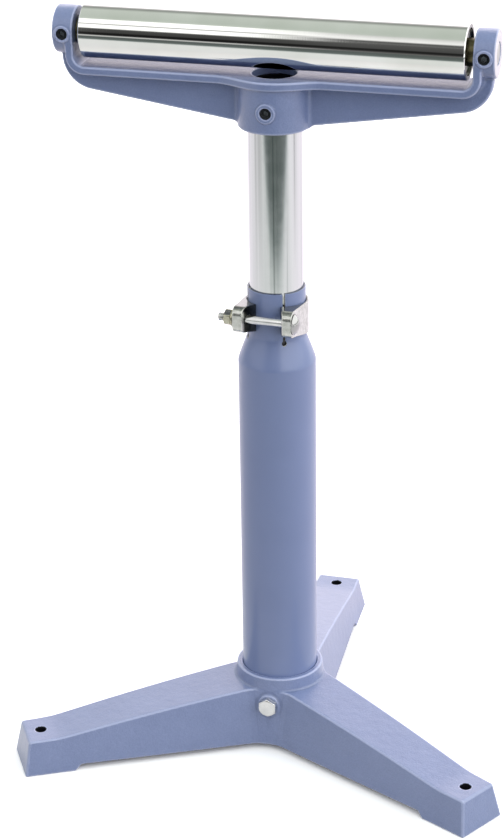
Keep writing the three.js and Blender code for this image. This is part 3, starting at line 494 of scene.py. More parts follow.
# Every point is folded on to the nearest leg; that leg's sides meet the next leg's in an upright fillet.
def baseField(x, y, z):
    b, lean = castBase, math.hypot(1, castBase["draft"])
    away, turn, u, v = onLeg(x, y)
    uNext, vNext = (away * f(2 * pi / 3 - np.abs(turn)) for f in (np.cos, np.sin))
    top = legTop(u)
    side = (v - legHalf(u) - b["draft"] * (top - z)) / lean
    sideNext = (vNext - legHalf(uNext) - b["draft"] * (legTop(uNext) - z)) / lean
    cone = away - b["rim"] - b["cone"] * (b["rimTop"] - z)
    legs = roundJoin(roundJoin(side, sideNext, b["crotch"]), cone + b["sunk"], b["crotch"])
    legs = roundMeet(legs, z - top, b["edge"])
    legs = roundMeet(legs, (u - b["reach"] + b["draft"] * z) / lean, b["tipEdge"])
    body = roundJoin(legs, roundMeet(cone, z - b["rimTop"], b["rimEdge"]), b["blend"])
    ring = np.hypot(x, z - b["boltHeight"])
    pad = np.maximum(roundMeet(ring - b["boltPad"], b["boltFace"] - y, b["padEdge"]), y)
    body = roundJoin(body, pad, b["padBlend"])
    floor = b["footStep"] * np.clip((b["footStart"] - u) / b["ramp"], 0, 1)
    body = roundMeet(body, floor - z, b["footEdge"])
    body = roundCut(body, np.maximum(away - b["bore"], b["ledge"] - z), b["boreEdge"])
    body = roundCut(body, away - b["drain"] + 0 * z, b["boreEdge"])
    inner = (v - legHalf(u) + b["sideWall"] - b["draft"] * (top - b["wall"] - z)) / lean
    near, far = b["pocket"]
    pocket = roundMeet(inner, z - top + b["wall"], b["pocketRound"])
    pocket = roundMeet(pocket, np.abs(u - (near + far) / 2) - (far - near) / 2, b["pocketRound"])
    body = roundCut(body, pocket, b["pocketEdge"])
    body = roundCut(body, np.hypot(u - b["holeReach"], v) - b["hole"] + 0 * z, b["holeEdge"])
    return roundCut(body, np.maximum(ring - b["boltBore"], y), b["boltEdge"])


points, faces, normals, bend = levelSurface(baseField, *castBase["box"], castBase["step"], castBase["block"])
out, off = onLeg(*points[faces].mean(1)[:, :2].T)[2:]
# painted shade: the walls of the pads' holes are painted near black
holeShade = np.hypot(out - castBase["holeReach"], off) < castBase["hole"] + 0.2
makePiece("castBase", points, faces, baseEnamel, "stand", ["base_casting"], normals, holeShade, bend)
print("base casting,", len(faces), "faces")

# Base bolt: hexagon head with a turned crown, seen end on; the shank goes through the socket's wall to the tube.
baseBolt = {"flats": 17.0, "tip": -53.33, "sides": 144,
            "deep": (0, 0.0, 0.06, 0.25, 0.5, 0.75, 1.0, 1.3, 6.0, 6.3, 6.4, 6.4, 6.5, 15.6, 16.03, 16.03),
            "crown": (0, 7.4, 7.9, 8.35, 8.75, 9.2, 9.6, 12, 12, 9.7, 9.5, 5.0, 5.0, 5.0, 4.6, 0)}
hexagon = hexRadius(baseBolt["flats"], baseBolt["sides"])
radius = np.minimum(np.array(baseBolt["crown"])[:, None], hexagon)
points, faces = spun(radius, baseBolt["tip"] + np.array(baseBolt["deep"]), baseBolt["sides"], False)
points = aboutY(points, 0, castBase["boltHeight"])
makePiece("hexBaseBolt", points, faces, zincPlate, "stand", ["base_bolt"])

# Outer tube: a wall carried round in four panels that part along the slots; between the wide and the narrow part
# the radius follows a cubic Bezier curve.
outerTube = {"low": (12.3, 12.5, 12.9, 40, 402), "top": (434, 477.5, 478.1, 478.45, 478.6), "edge": 0.4,
             "neck": (403.5, 432.5), "handle": 4.0, "outer": (37.0, 27.55), "inner": (34.0, 25.75),
             "slotFoot": 429.6, "slotTurn": -61.0, "slotHalf": 1.25, "slotFrom": 2.16, "relief": 2.5, "columns": 44,
             "shadeSheet": (25.5, 25.68, 424.0, 438.0), "shadeSheetSides": 144}
low, high = outerTube["neck"]
t = np.linspace(0, 1, 60)
curve = [(1 - t) ** 3, 3 * t * (1 - t) ** 2, 3 * t * t * (1 - t), t ** 3]
neckZ = sum(w * k for w, k in zip(curve, (low, low + outerTube["handle"], high - outerTube["handle"], high)))
neckWide = curve[0] + curve[1]
foot, relief, columns = outerTube["slotFoot"], outerTube["relief"], outerTube["columns"]
reliefZ = foot - relief * np.cos(np.linspace(0, 5 * pi / 6, 15))
rows = np.unique(np.round(np.concatenate([outerTube["low"], neckZ[::3], reliefZ, outerTube["top"]]), 4))
wide = np.interp(rows, neckZ, neckWide)
inEdge = np.maximum(outerTube["edge"] - np.minimum(rows - rows[0], rows[-1] - rows), 0)
eased = outerTube["edge"] - np.sqrt(np.maximum(outerTube["edge"] ** 2 - inEdge ** 2, 0))
outer, inner = (narrow + wide * (full - narrow) for full, narrow in (outerTube["outer"], outerTube["inner"]))
gape = np.sqrt(np.maximum(relief ** 2 - (rows - foot) ** 2, 0))
gape = np.where(rows > foot + outerTube["slotFrom"], outerTube["slotHalf"], gape)
walls = []
for radius in (outer - eased, inner + eased):  # wall, panel, row, column
    edge = np.arcsin(gape / radius)[None, :, None]
    start = np.radians(outerTube["slotTurn"]) + np.arange(4)[:, None, None] * pi / 2
    angle = start + edge + np.linspace(0, 1, columns)[None, None] * (pi / 2 - 2 * edge)
    r = radius[None, :, None]
    walls.append(np.stack([r * np.cos(angle), r * np.sin(angle), rows[None, :, None] + 0 * angle], -1))
number = np.arange(2 * 4 * len(rows) * columns).reshape(2, 4, len(rows), -1)
skin = [number[:, :, :-1, :-1], number[:, :, :-1, 1:], number[:, :, 1:, 1:], number[:, :, 1:, :-1]]
ends = number[:, :, [0, -1]]
ends = [ends[0, :, :, :-1], ends[0, :, :, 1:], ends[1, :, :, 1:], ends[1, :, :, :-1]]
lips = number[:, :, np.nonzero(gape > 0)[0][0] - 1:][:, :, :, [0, -1]]
lips = [lips[0, :, :-1], lips[0, :, 1:], lips[1, :, 1:], lips[1, :, :-1]]
skin, ends, lips = (np.stack(corners, -1).reshape(-1, 4) for corners in (skin, ends, lips))
points = np.stack(walls).reshape(-1, 3)
# a thin black sheet inside the collar behind the slots' round ends: painted shade where the mast would show through
near, far, low, high = outerTube["shadeSheet"]
shadeSheet, shadeSheetFaces = spun([near, far, far, near], [low, low, high, high], outerTube["shadeSheetSides"])
faces = np.concatenate([skin, ends, lips, shadeSheetFaces + len(points)])
marks = np.repeat([0, 0, 0.5, 1], [len(f) for f in (skin, ends, lips, shadeSheetFaces)])
# the rim's top faces are painted black too: painted shade of the gap round the mast
marks[len(skin):len(skin) + len(ends)] = points[ends].mean(1)[:, 2] > high
points = np.concatenate([points, shadeSheet])
makePiece("neckedTube", points, faces, tubeEnamel, "stand", ["outer_tube"], marks=marks)

# Mast: drawn tube, turned down at its foot for the bush and the ring.
mast = {"radius": 25.4, "bore": 20.4, "bottom": 167.9, "top": 675.9, "seat": 24.4, "groove": 23.2,
        "grooveFrom": 2.5, "grooveTo": 4.6, "seatTo": 17.5, "sides": 144,
        "edges": (0.5, 0.5, 0.1, 0.1, 0.1, 0.1, 0.2, 0.4, 0.6, 0.6)}
bore, seat, groove, low = mast["bore"], mast["seat"], mast["groove"], mast["bottom"]
first, second, third = (low + mast[key] for key in ("grooveFrom", "grooveTo", "seatTo"))
outline = [(bore, low), (seat, low), (seat, first), (groove, first), (groove, second), (seat, second), (seat, third),
           (mast["radius"], third), (mast["radius"], mast["top"]), (bore, mast["top"])]
points, faces = spun(*softened(outline, mast["edges"]).T, mast["sides"])
inside = np.hypot(*points[faces].mean(1)[:, :2].T) < bore + 0.5
makePiece("drawnMast", points, faces, mastSteel, "head", ["mast"], marks=inside)

# Guide bush and the ring that holds it on the mast.
g = guideBush = {"inner": 24.75, "outer": 33.65, "bottom": 172.8, "top": 185.1, "lead": 1.5, "edge": 0.3, "sides": 120}
led = g["outer"] - g["lead"]
outline = softened([(g["inner"], g["bottom"]), (led, g["bottom"]), (g["outer"], g["bottom"] + g["lead"]),
                    (g["outer"], g["top"] - g["lead"]), (led, g["top"]), (g["inner"], g["top"])], g["edge"])
points, faces = spun(*outline.T, g["sides"])
makePiece("guideRing", points, faces, nylon, "guide", ["guide_bush"])

g = retainingRing = {"section": (23.5, 27.2, 170.7, 172.2), "edge": 0.15, "opening": 0.7, "sections": 97}
outline = softened(oblong(*g["section"]), g["edge"], 2)
angle = np.linspace(g["opening"] / 2, 2 * pi - g["opening"] / 2, g["sections"])[:, None]
r, h = outline.T
points = np.stack([r * np.cos(angle), r * np.sin(angle), h + 0 * angle], -1).reshape(-1, 3)
faces = gridFaces(g["sections"], len(r)).tolist()
faces += [list(range(len(r))), list(range(len(points) - len(r), len(points)))[::-1]]
makePiece("snapRing", points, faces, blackOxide, "head", ["retaining_ring"])
print("tube, mast and guide")

# Clamp: a forged band round the collar whose ends thicken into two ears; the opening between them widens to the
# tips. Its own frame is turned a little about the mast.
clamp = {"turn": -3.7, "height": 448.6, "bore": 27.85, "band": 2.5, "half": 16.0, "earRoot": 12.0, "earIn": 19.9,
         "earOut": 29.0, "flank": 1.35, "root": -28.35, "tip": -45.35, "earTop": 20.0, "earLow": -6.0, "corner": 8.0,
         "gapSlope": 1.074, "gapBack": 5, "boltY": -36.55, "boltZ": 7.0, "boltBore": 4.3, "boreEdge": 0.35,
         "squareEdge": 0.3, "edge": 0.9, "crease": 0.01, "box": ((-31.5, -47, -17.4), (31.5, 31.5, 21.4)), "step": 0.6}


def clampField(x, y, z):
    k = clamp
    away, wide = np.hypot(x, y), np.abs(x)
    ears = wide - k["earOut"] - k["flank"] * np.clip((y - k["root"]) / -k["root"], 0, 1)
    shell = np.minimum(away - k["bore"] - k["band"], np.maximum(ears, y))
    inset = -math.sqrt(k["bore"] ** 2 - k["earRoot"] ** 2)
    gap = k["earRoot"] + (k["earIn"] - k["earRoot"]) * (inset - y) / (inset - k["tip"])
    opening = np.maximum((wide - gap) / k["gapSlope"], y - inset - k["gapBack"])
    hollow = np.minimum(away - k["bore"], opening)
    sink = np.clip(y / (k["tip"] + k["corner"]), 0, 1)
    above = z - k["half"] - sink * (k["earTop"] - k["half"])
    below = -k["half"] + sink * (k["earLow"] + k["half"]) - z
    sides = roundMeet(roundMeet(above, below, k["crease"]), k["tip"] - y, k["corner"])
    body = roundMeet(roundMeet(shell, -hollow, k["edge"]), sides, k["edge"])
    dy, dz = y - k["boltY"], z - k["boltZ"]
    body = roundCut(body, np.maximum(np.hypot(dy, dz) - k["boltBore"], x), k["boreEdge"])
    square = np.maximum(np.abs(dy), np.abs(dz)) - k["boltBore"]
    return roundCut(body, np.maximum(square, -x), k["squareEdge"])


def fromClamp(points, height=clamp["height"]):
    a = math.radians(clamp["turn"])
    c, s = math.cos(a), math.sin(a)
    return points @ np.array([[c, s, 0], [-s, c, 0], [0, 0, 1]]) + [0, 0, height]


def onBolt(points):  # from a spin about z to the clamp bolt's axis
    return fromClamp(aboutX(points, 0) + [0, clamp["boltY"], clamp["boltZ"]])


points, faces, normals, _ = levelSurface(clampField, *clamp["box"], clamp["step"])
middle, facing = points[faces].mean(1), normals[faces].mean(1)
shadedInside = np.clip(-(facing[:, :2] * middle[:, :2] * [1, 0.2]).sum(1) / 12, 0, 1)  # painted shade on faces that look at the collar or the gap
shadedInside *= np.clip((middle[:, 1] + 44.5) / 4, 0, 1)  # but none at the tips
# painted shade on faces turned up, dimming the ears' lit tops
upward = 0.6 * np.clip(2 * facing[:, 2] - 0.8, 0, 1)
points, normals = fromClamp(points), fromClamp(normals, 0)
makePiece("clampBand", points, faces, dullZinc, "stand", ["clamp_band"], normals,
          np.maximum(shadedInside, upward))

# Its bolt: domed head, square neck, plain shank and a thread that stands out of the nut.
g = clampBolt = {"radius": 4.0, "head": 9.9, "headEdge": 0.5, "dome": 5.2, "under": 29.3, "end": -44.7, "lead": 0.6,
                 "threadFrom": -27.0, "pitch": 1.25, "threadDeep": 0.72, "runOut": 1.5, "neck": 4.0, "neckMost": 5.6,
                 "neckRows": (24.9, 24.95, 25.0), "power": 20, "sides": 64, "shadeDimmed": 0.45}
turnHere = np.linspace(0, 2 * pi, g["sides"], endpoint=False)
whole = np.ones(g["sides"])
bulge = (g["head"] ** 2 + g["dome"] ** 2) / (2 * g["dome"])
spread = np.linspace(math.asin((g["head"] - g["headEdge"]) / bulge), 0, 12)
square = (np.abs(np.cos(turnHere)) ** g["power"] + np.abs(np.sin(turnHere)) ** g["power"]) ** (1 / g["power"])
square = np.minimum(g["neck"] / square, g["neckMost"])
threadX = np.arange(g["end"] + g["lead"], g["threadFrom"], g["pitch"] / 10)
phase = (threadX[:, None] / g["pitch"] - turnHere / (2 * pi)) % 1
fading = np.clip((g["threadFrom"] - threadX[:, None]) / g["runOut"], 0, 1)
thread = g["radius"] - g["threadDeep"] * np.abs(2 * phase - 1) ** 1.2 * fading
under = g["under"]
rowX = np.concatenate([[g["end"], g["end"], g["end"] + 0.1], threadX, [g["threadFrom"], *g["neckRows"], under, under],
                       [under + 0.15, under + 0.4], under + g["dome"] - bulge + bulge * np.cos(spread)])
before, after = np.outer([0, 3.0, 3.25], whole), np.outer([9.5, 9.8, 9.9, *(bulge * np.sin(spread))], whole)
radius = np.concatenate([before, thread, g["radius"] * np.ones((3, g["sides"])), [square, square], after])
points, faces = spun(radius, rowX, g["sides"], False)
# painted shade on the domed head, dimming its bright reflection
shadeDimmed = g["shadeDimmed"] * (points[faces].mean(1)[:, 2] > under)
makePiece("domedClampBolt", onBolt(points), faces, zincPlate, "stand", ["clamp_bolt"], marks=shadeDimmed)

clampWasher = {"section": (4.3, 8.5, -30.9, -29.3), "edge": 0.25, "sides": 72}
points, faces = spun(*softened(oblong(*clampWasher["section"]), clampWasher["edge"]).T, clampWasher["sides"])
makePiece("flatWasher", onBolt(points), faces, yellowZinc, "washer", ["clamp_washer"])

g = clampNut = {"flats": 14.0, "sides": 144, "shift": 0.35,
                "rows": (-38.55, -38.55, -38.4, -38.2, -38.0, -37.75, -37.3, -32.8, -32.35, -32.1, -31.9, -31.7,
                         -31.55, -31.55, -32.1, -38.0),
                "crown": (5.0, 6.5, 6.85, 7.15, 7.45, 7.8, 9, 9, 7.8, 7.45, 7.15, 6.85, 6.5, 5.0, 4.3, 4.3)}
radius = np.minimum(np.array(g["crown"])[:, None], hexRadius(g["flats"], g["sides"]))
points, faces = spun(radius, g["shift"] + np.array(g["rows"]), g["sides"])
makePiece("hexClampNut", onBolt(points), faces, yellowZinc, "nut", ["clamp_nut"])
print("clamp")

# Yoke casting: a T section follows a U, hub below, bosses at the top of the uprights. Depth is the distance out
# from the rounded inside of the U.
castYoke = {"top": 683.5, "thick": 7.8, "half": 21.5, "round": 36.5, "sweep": 18.0, "edge": 1.8, "web": 5.0,
            "corner": 10.0, "inside": 184.5, "outside": 200.7, "outerCorner": 26.0, "hub": 34.0, "hubLow": 634.0,
            "hubDraft": 0.02, "hubEdge": 2.2, "hubSunk": 5, "webLow": 636.5, "slope": 0.1525, "slant": 1.0116,
            "webBlend": 4, "flangeBlend": 3.5, "boss": 22.0, "bossEnd": 204.0, "bossEdge": 1.2, "bossBlend": 2,
            "bossPad": 7.8, "bossFace": -23.0, "hubPad": 9.0, "hubFace": -35.0, "hubScrew": 654.3, "padEdge": 0.7,
            "bossPadBlend": 1.2, "hubPadBlend": 1.5, "bore": 25.7, "boreTop": 676.2, "boreEdge": 0.8, "hole": 20.5,
            "holeEdge": 0.9, "axleBore": 10.3, "screw": 5.3, "screwEdge": 0.6,
            "box": ((-206.4, -38.4, 631.2), (206.4, 38.4, 738)), "step": 1.2}


def yokeField(x, y, z):
    k = castYoke
    wide, across, away, lift = np.abs(x), np.abs(y), np.hypot(x, y), z - axle
    inX, inZ = wide - (k["inside"] - k["corner"]), k["top"] + k["corner"] - z
    depth = np.hypot(np.maximum(inX, 0), np.maximum(inZ, 0)) + np.minimum(np.maximum(inX, inZ), 0) - k["corner"]
    plan = roundJoin(across - k["half"], away - k["round"], k["sweep"])
    flange = roundMeet(plan, np.abs(depth - k["thick"] / 2) - k["thick"] / 2, k["edge"])
    low = k["webLow"] + k["slope"] * np.maximum(wide - k["hub"], 0)
    rim = roundMeet((low - z) / k["slant"], wide - k["outside"], k["outerCorner"])
    web = roundMeet(across - k["web"], np.maximum(rim, -depth), k["edge"])
    hub = roundMeet(away - k["hub"] + k["hubDraft"] * (z - k["hubLow"]), k["hubLow"] - z, k["hubEdge"])
    hub = np.maximum(hub, z - k["top"] + k["hubSunk"])
    arms = roundJoin(flange, roundJoin(web, hub, k["webBlend"]), k["flangeBlend"])
    arms = np.maximum(arms, lift)
    middle, half = (k["inside"] + k["bossEnd"]) / 2, (k["bossEnd"] - k["inside"]) / 2
    boss = roundMeet(np.hypot(y, lift) - k["boss"], np.abs(wide - middle) - half, k["bossEdge"])
    body = roundJoin(arms, boss, k["bossBlend"])
    bossRing, hubRing = np.hypot(wide - middle, lift), np.hypot(x, z - k["hubScrew"])
    for ring, name in ((bossRing, "boss"), (hubRing, "hub")):
        pad = roundMeet(ring - k[name + "Pad"], k[name + "Face"] - y, k["padEdge"])
        body = roundJoin(body, np.maximum(pad, y), k[name + "PadBlend"])
    body = np.maximum(body, -depth)
    body = roundCut(body, np.maximum(away - k["bore"], z - k["boreTop"]), k["boreEdge"])
    body = roundCut(body, away - k["hole"] + 0 * z, k["holeEdge"])
    body = roundCut(body, np.hypot(y, lift) - k["axleBore"] + 0 * x, k["screwEdge"])
    for ring in (bossRing, hubRing):
        body = roundCut(body, np.maximum(ring - k["screw"], y), k["screwEdge"])
    return body


points, faces, normals, bend = levelSurface(yokeField, *castYoke["box"], castYoke["step"])
middle, facing = points[faces].mean(1), normals[faces].mean(1)
# painted shade on the flange's top under the roller, where the roller shades it
flangeShade = np.clip((facing[:, 2] - 0.8) / 0.15, 0, 1) * (np.abs(middle[:, 2] - castYoke["top"]) < 1)
flangeShade *= np.clip((middle[:, 1] + 20.5) / 3, 0, 1)  # but none along the front edge
makePiece("castYoke", points, faces, yokeEnamel, "head", ["yoke_casting"], normals, flangeShade, bend)
print("yoke casting,", len(faces), "faces")

# Set screws: black, headless, with a hexagon socket in the end that shows; each has x, z, mouth and foot.
setScrews = {"hub_set_screw": (0.0, 654.3, -34.4, -25.7), "left_shaft_set_screw": (-194.25, 713.0, -22.4, -9.3),
             "right_shaft_set_screw": (194.25, 713.0, -22.4, -9.3)}
screw = {"ring": (0, 4.2, 5.0, 5.0, 4.75, 4.3), "flats": 5.0, "bevel": 0.25, "sides": 96,
         "foot": (0, 0, -0.8), "mouth": (0.4, 0.1, 0, 0, 0.3, 5, 5.6), "socketRow": 7}
socket = hexRadius(screw["flats"], screw["sides"])
rings = np.outer(screw["ring"], np.ones(screw["sides"]))
radius = np.concatenate([rings, [socket + screw["bevel"], socket, socket, 0 * socket]])
for node, (x, z, mouth, foot) in setScrews.items():
    rowY = [foot + d for d in screw["foot"]] + [mouth + d for d in screw["mouth"]]
    points, faces = spun(radius, rowY, screw["sides"], False)
    # painted reflection: the socket's bottom faces get the grey marked colour
    socketReflection = np.arange(len(faces)) // screw["sides"] > screw["socketRow"]
    makePiece(node.split("_")[0] + "SocketScrew", aboutY(points, x, z), faces, blackOxide, "head", [node],
              marks=socketReflection)

# Shaft: plain bar with a flat under each set screw.
g = rollerShaft = {"radius": 10.0, "end": (203.4, 203.4, 203.2), "endWide": (0, 9.2, 9.7), "bevelTo": (202.7, 202.3),
                   "flat": (188.25, 200.25), "flatDeep": 9.0, "inner": 180.0, "sides": 96}
around = np.linspace(0, 2 * pi, g["sides"], endpoint=False)
flatted = np.minimum(g["radius"], g["flatDeep"] / np.maximum(-np.cos(around), 0.05))
ring = g["radius"] + 0 * around
a, b = g["flat"]
radius = [r + 0 * ring for r in g["endWide"]] + [ring, ring, ring, flatted, flatted, ring, ring]
rowX = [*g["end"], *g["bevelTo"], b, b, a, a, g["inner"]]
points, faces = spun(np.array(radius + radius[::-1]), rowX + [-x for x in rowX[::-1]], g["sides"], False)
makePiece("plainShaft", aboutX(points), faces, turnedSteel, "head", ["roller_shaft"])

# Roller: ground tube, counterbored at both ends for the bearings.
g = rollerTube = {"radius": 25.4, "end": 178.0, "bore": 20.0, "seat": 21.3, "shoulder": 162.7, "chamfer": 0.8,
                  "edges": (0.2, 0.1, 0.3, 0.25, 0.35), "sides": 192}
flat = g["radius"] - g["chamfer"]
right = [(g["bore"], g["shoulder"]), (g["seat"], g["shoulder"]), (g["seat"], g["end"]), (flat, g["end"]),
         (g["radius"], g["end"] - g["chamfer"])]
outline = softened(right + [(r, -x) for r, x in right[::-1]], g["edges"] + g["edges"][::-1])
points, faces = spun(*outline.T, g["sides"])
turned = np.hypot(*points[faces].mean(1)[:, :2].T) < flat
makePiece("groundRoller", aboutX(points), faces, rollerChrome, "roller", ["roller_tube"], marks=turned)

# Bearings and spacers, one set at each end: grooved rings, shields, nine balls in a cage, and a sleeve.
g = bearing = {"middle": 169.0, "half": 6.0, "outer": 21.0, "bore": 10.3, "lands": (17.55, 13.75), "pitch": 15.65,
               "groove": 3.5, "grooveHalf": 1.9, "ball": 3.2, "balls": 9, "ballRows": 25, "ballColumns": 32,
               "cage": (14.95, 16.35, -1.2, 1.2), "shield": (14.05, 17.25, 0.6, 1.4), "step": (0.6, 0.2, 0.25),
               "sleeve": (12.5, 175.3, 184.2), "sides": 120, "smallSides": 90}
swing = np.linspace(-1, 1, 13) * math.acos(g["grooveHalf"] / g["groove"])
lat, lon = np.meshgrid(np.linspace(0, pi, g["ballRows"]), np.linspace(0, 2 * pi, g["ballColumns"], endpoint=False),
                       indexing="ij")
ball = g["ball"] * np.stack([np.cos(lat), np.sin(lat) * np.cos(lon), np.sin(lat) * np.sin(lon)], -1).reshape(-1, 3)
spot = np.arange(g["balls"]) * 2 * pi / g["balls"]
centres = g["pitch"] * np.stack([0 * spot, -np.sin(spot), np.cos(spot)], 1)
balls = (ball[None] + centres[:, None]).reshape(-1, 3) + [0, 0, axle]
ballFaces = gridFaces(g["ballRows"], g["ballColumns"])[None] + (np.arange(g["balls"]) * len(ball))[:, None, None]
races = (("outer", g["outer"], g["lands"][0], 1, "roller"), ("inner", g["bore"], g["lands"][1], -1, "head"))
for side, sign in (("left", -1), ("right", 1)):
    move = np.array([sign * g["middle"], 0, 0])
    for kind, back, land, way, owner in races:
        corners = [(back, -g["half"]), (back, g["half"]), (land, g["half"]), (land, -g["half"])]
        corners = softened(corners, [0.5, 0.5, 0.2, 0.2], 3)
        race = np.stack([g["pitch"] + way * g["groove"] * np.cos(swing), -g["groove"] * np.sin(swing)], 1)
        points, faces = spun(*np.concatenate([corners[:18], race, corners[18:]]).T, g["sides"])
        makePiece(side + kind.capitalize() + "Race", aboutX(points) + move, faces, turnedSteel, owner,
                  [f"{side}_bearing_{kind}_ring"])
    for kind, facing in (("outer", sign), ("inner", -sign)):
        inner, outer, *sunk = g["shield"]
        high, low = (facing * (g["half"] - s) for s in sunk)
        middle, (before, after, drop) = (inner + outer) / 2, g["step"]
        outline = [(inner, low), (outer, low), (outer, high), (middle + before, high),
                   (middle + after, high - drop * facing), (inner, high - drop * facing)]
        points, faces = spun(*softened(outline, 0.08, 2).T, g["sides"])
        makePiece(side + kind.capitalize() + "Shield", aboutX(points) + move, faces, turnedSteel, "roller",
                  [f"{side}_bearing_{kind}_shield"])
    points, faces = spun(*softened(oblong(*g["cage"]), 0.2, 2).T, g["smallSides"])
    points = np.concatenate([balls, aboutX(points)]) + move
    faces = np.concatenate([ballFaces.reshape(-1, 4), faces + len(balls)])
    makePiece(side + "BallsInCage", points, faces, ballSteel, side + "_cage", [f"{side}_bearing_balls"])
    wall, near, far = g["sleeve"]
    points, faces = spun(*softened(oblong(g["bore"], wall, sign * near, sign * far), 0.25, 3).T, g["smallSides"])
    makePiece(side + "Sleeve", aboutX(points), faces, sleeveSteel, "head", [f"{side}_spacer"])
print("roller, shaft and bearings")

# Studio: a white floor that falls off into the dark in front, and a sky in bands that the bright steel mirrors:
# a white wall behind, a grey ceiling, two soft boxes high in front and a dark room below them.
studio = {"reach": 4.0, "under": -0.0002, "sides": 96, "bounce": 0.45, "screens": (1.05, 2.0), "mottle": 250,
          "pale": (1.3, 1.36), "rough": 0.9, "bright": 2.2, "power": 1.05}
# What the floor shows in the steel. Around: brightness by degrees about the mast, 0 in front. Near: by distance in
# metres. Beyond: by the slanting line y - 0.284 x, where the floor ends in front. Posts: dark lines by degrees about
# the mast, which fade in with the distance.
around = [(-140, 0.9), (-84, 0.73), (-36, 0.67), (10, 0.67), (54, 0.76), (83, 0.82), (140, 0.92)]
near = [(0.2, 0.86), (0.44, 0.74), (0.71, 0.66), (1.1, 0.56), (1.25, 0.5)]
beyond = [(-2.4, 0.16), (-2.0, 0.18), (-1.75, 0.21), (-1.62, 0.26), (-1.52, 0.42), (-1.44, 0.72), (-1.34, 0.95),
          (-1.2, 1.06)]
posts = [(-82, 1.0), (-77, 0.6), (-70, 0.85), (-62, 0.8), (-55, 0.66), (-46, 0.8), (-38, 1.0), (94, 1.0), (101, 0.45),
         (107, 0.9), (125, 1.0)]
nearEnd, slope, slantRange, postsFrom = 3.0, -0.284, (-2.6, -1.1), (1.3, 1.95)


def turnShare(degrees):  # a turn from -180 to 180 as a share of the full circle
    return (degrees + 180) / 360


floorFinish, tree, shader, place = startFinish("matWhiteFloor")
axes = addNode(tree, "ShaderNodeSeparateXYZ", {"Vector": place}).outputs
pale = ramp(tree, noise(tree, place, studio["mottle"], 2.0), list(zip(middling, map(grey, studio["pale"]))))
ahead = worked(tree, "MULTIPLY_ADD", axes["Y"], -1.0, axisY / 1000)
turn = ranged(tree, worked(tree, "ARCTAN2", axes["X"], ahead), (-pi, pi))
reach = addNode(tree, "ShaderNodeVectorMath", {0: place}, operation="LENGTH").outputs["Value"]
slant = ranged(tree, worked(tree, "MULTIPLY_ADD", axes["X"], slope, axes["Y"]), slantRange)
dim = ramp(tree, turn, [(turnShare(d), (v * 0.98, v * (1.02 - abs(d) / 1400), v, 1.0)) for d, v in around])
close = ramp(tree, ranged(tree, reach, (0.0, nearEnd)), [(d / nearEnd, grey(v)) for d, v in near])
dark = ramp(tree, slant, [((d + 2.6) / 1.5, (v * (0.85 + 0.15 * v), v, v * (0.97 + 0.03 * v), 1.0)) for d, v in beyond])
lines = ramp(tree, turn, [(turnShare(d), grey(v)) for d, v in posts])
dim = mixed(tree, 1.0, dim, close, "LIGHTEN")
dim = mixed(tree, 1.0, dim, dark, "MULTIPLY")
dim = mixed(tree, ranged(tree, reach, postsFrom), dim, lines, "MULTIPLY")
light = addNode(tree, "ShaderNodeLightPath").outputs
less = worked(tree, "MULTIPLY_ADD", light["Is Diffuse Ray"], studio["bounce"] - 1, 1.0)
weak = addNode(tree, "ShaderNodeVectorMath", {0: dim, "Scale": less}, operation="SCALE").outputs[0]
tone = mixed(tree, light["Is Camera Ray"], weak, pale)
shader.inputs["Roughness"].default_value = studio["rough"]
shader.inputs["Specular IOR Level"].default_value = 0.0
tree.links.new(tone, shader.inputs["Base Color"])
angle = np.linspace(0, 2 * pi, studio["sides"], endpoint=False)
rim = np.stack([np.cos(angle), np.sin(angle), 0 * angle], 1) * studio["reach"] + [0, 0, studio["under"]]
mesh = bpy.data.meshes.new("floor")
mesh.from_pydata(rim.tolist(), [], [list(range(studio["sides"]))])
mesh.materials.append(floorFinish)
floor = bpy.data.objects.new("floor", mesh)
scene.collection.objects.link(floor)

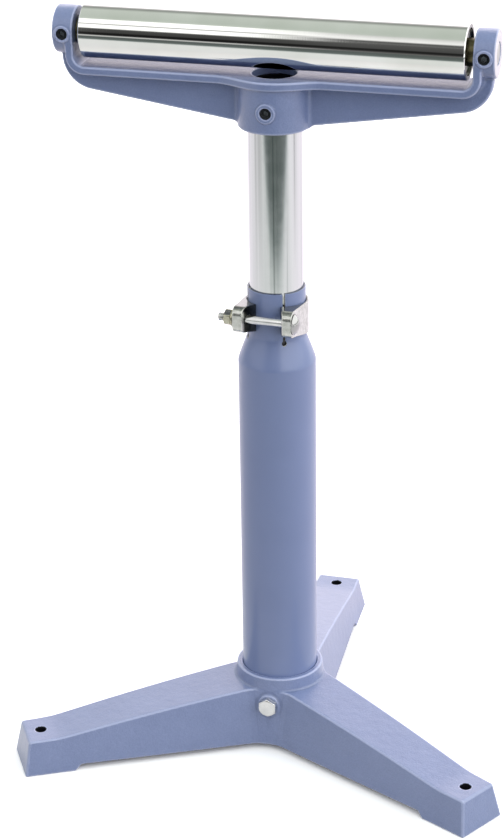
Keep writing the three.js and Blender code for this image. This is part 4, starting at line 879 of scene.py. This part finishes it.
# Sky: degrees from the zenith, minus behind and plus in front, with the brightness and the share of green there.
# The slot is a narrow strip of it that the roller's right end mirrors, between the given places across.
bands = [(-180, 1.8, 0.94), (-106, 2.0, 0.93), (-49, 2.1, 0.93), (-40, 0.7, 1.0), (-31, 0.28, 1.05), (-25, 0.42, 1.08),
         (-17, 0.62, 1.08), (20, 0.56, 1.1), (28, 0.62, 1.08), (31.5, 1.6, 1.0), (46.5, 1.6, 1.0), (48, 0.6, 1.0),
         (52, 0.6, 1.0), (53.5, 1.6, 1.0), (64.5, 1.6, 1.0), (69.5, 0.08, 1.0), (95, 0.03, 1.0), (96.5, 0.6, 1.0),
         (99.5, 0.6, 1.0), (101, 0.14, 1.0), (180, 0.2, 1.0)]
slot = [(-49, 2.1, 0.93), (-40, 0.7, 1.0), (-31, 0.28, 1.05), (-25, 0.42, 1.08), (-17, 0.62, 1.08), (20, 0.56, 1.1),
        (30, 0.58, 1.08), (36, 0.78, 1.0), (46, 1.0, 1.0), (50.5, 1.0, 1.0), (54, 0.3, 1.0), (56, 0.1, 1.0),
        (63, 0.16, 1.0), (67, 0.1, 1.0), (95, 0.05, 1.0), (98, 0.16, 1.0), (101, 0.12, 1.0)]
slotAcross = ((-0.265, 0), (-0.22, 1), (-0.14, 1), (-0.11, 0))
bright = studio["bright"]
world = bpy.data.worlds.new("studioSky")
scene.world = world
world.use_nodes = True
tree = world.node_tree
tree.nodes.clear()
outward = addNode(tree, "ShaderNodeTexCoord").outputs["Generated"]
way = addNode(tree, "ShaderNodeSeparateXYZ", {"Vector": outward}).outputs
share = ranged(tree, worked(tree, "ARCTAN2", worked(tree, "MULTIPLY", way["Y"], -1.0), way["Z"]), (-pi, pi))
sky, narrow = (ramp(tree, share, [(turnShare(d), (v / bright, v * g / bright, v / bright, 1.0)) for d, v, g in band])
               for band in (bands, slot))
within = ramp(tree, ranged(tree, way["X"], (-1.0, 1.0)), [((x + 1) / 2, grey(v)) for x, v in slotAcross])
sky = mixed(tree, within, sky, narrow)
# pale screens at the left and right, which only show in faces turned that way
aside = ranged(tree, way["X"], (-0.75, 0.75), interpolation_type="SMOOTHSTEP")
left, right = (grey(v / bright) for v in studio["screens"])
screen = ramp(tree, aside, [(0.0, left), (0.5, left), (0.501, right)])
beside = ramp(tree, aside, [(0.05, grey(1)), (0.2, grey(0)), (0.8, grey(0)), (0.95, grey(1))])
sky = mixed(tree, beside, sky, screen)
# a dark line all round at the horizon
horizon = [(0.47, grey(1)), (0.485, grey(0.3)), (0.535, grey(0.3)), (0.56, grey(1))]
sky = mixed(tree, 1.0, sky, ramp(tree, ranged(tree, way["Z"], (-1.0, 1.0)), horizon), "MULTIPLY")
ray = addNode(tree, "ShaderNodeLightPath").outputs["Is Camera Ray"]
power = mixed(tree, ray, studio["power"] * bright, 1.0, kind="FLOAT")
glow = addNode(tree, "ShaderNodeBackground", {"Color": mixed(tree, ray, sky, grey(1.0)), "Strength": power})
addNode(tree, "ShaderNodeOutputWorld", {"Surface": glow.outputs[0]})
print("studio ready")
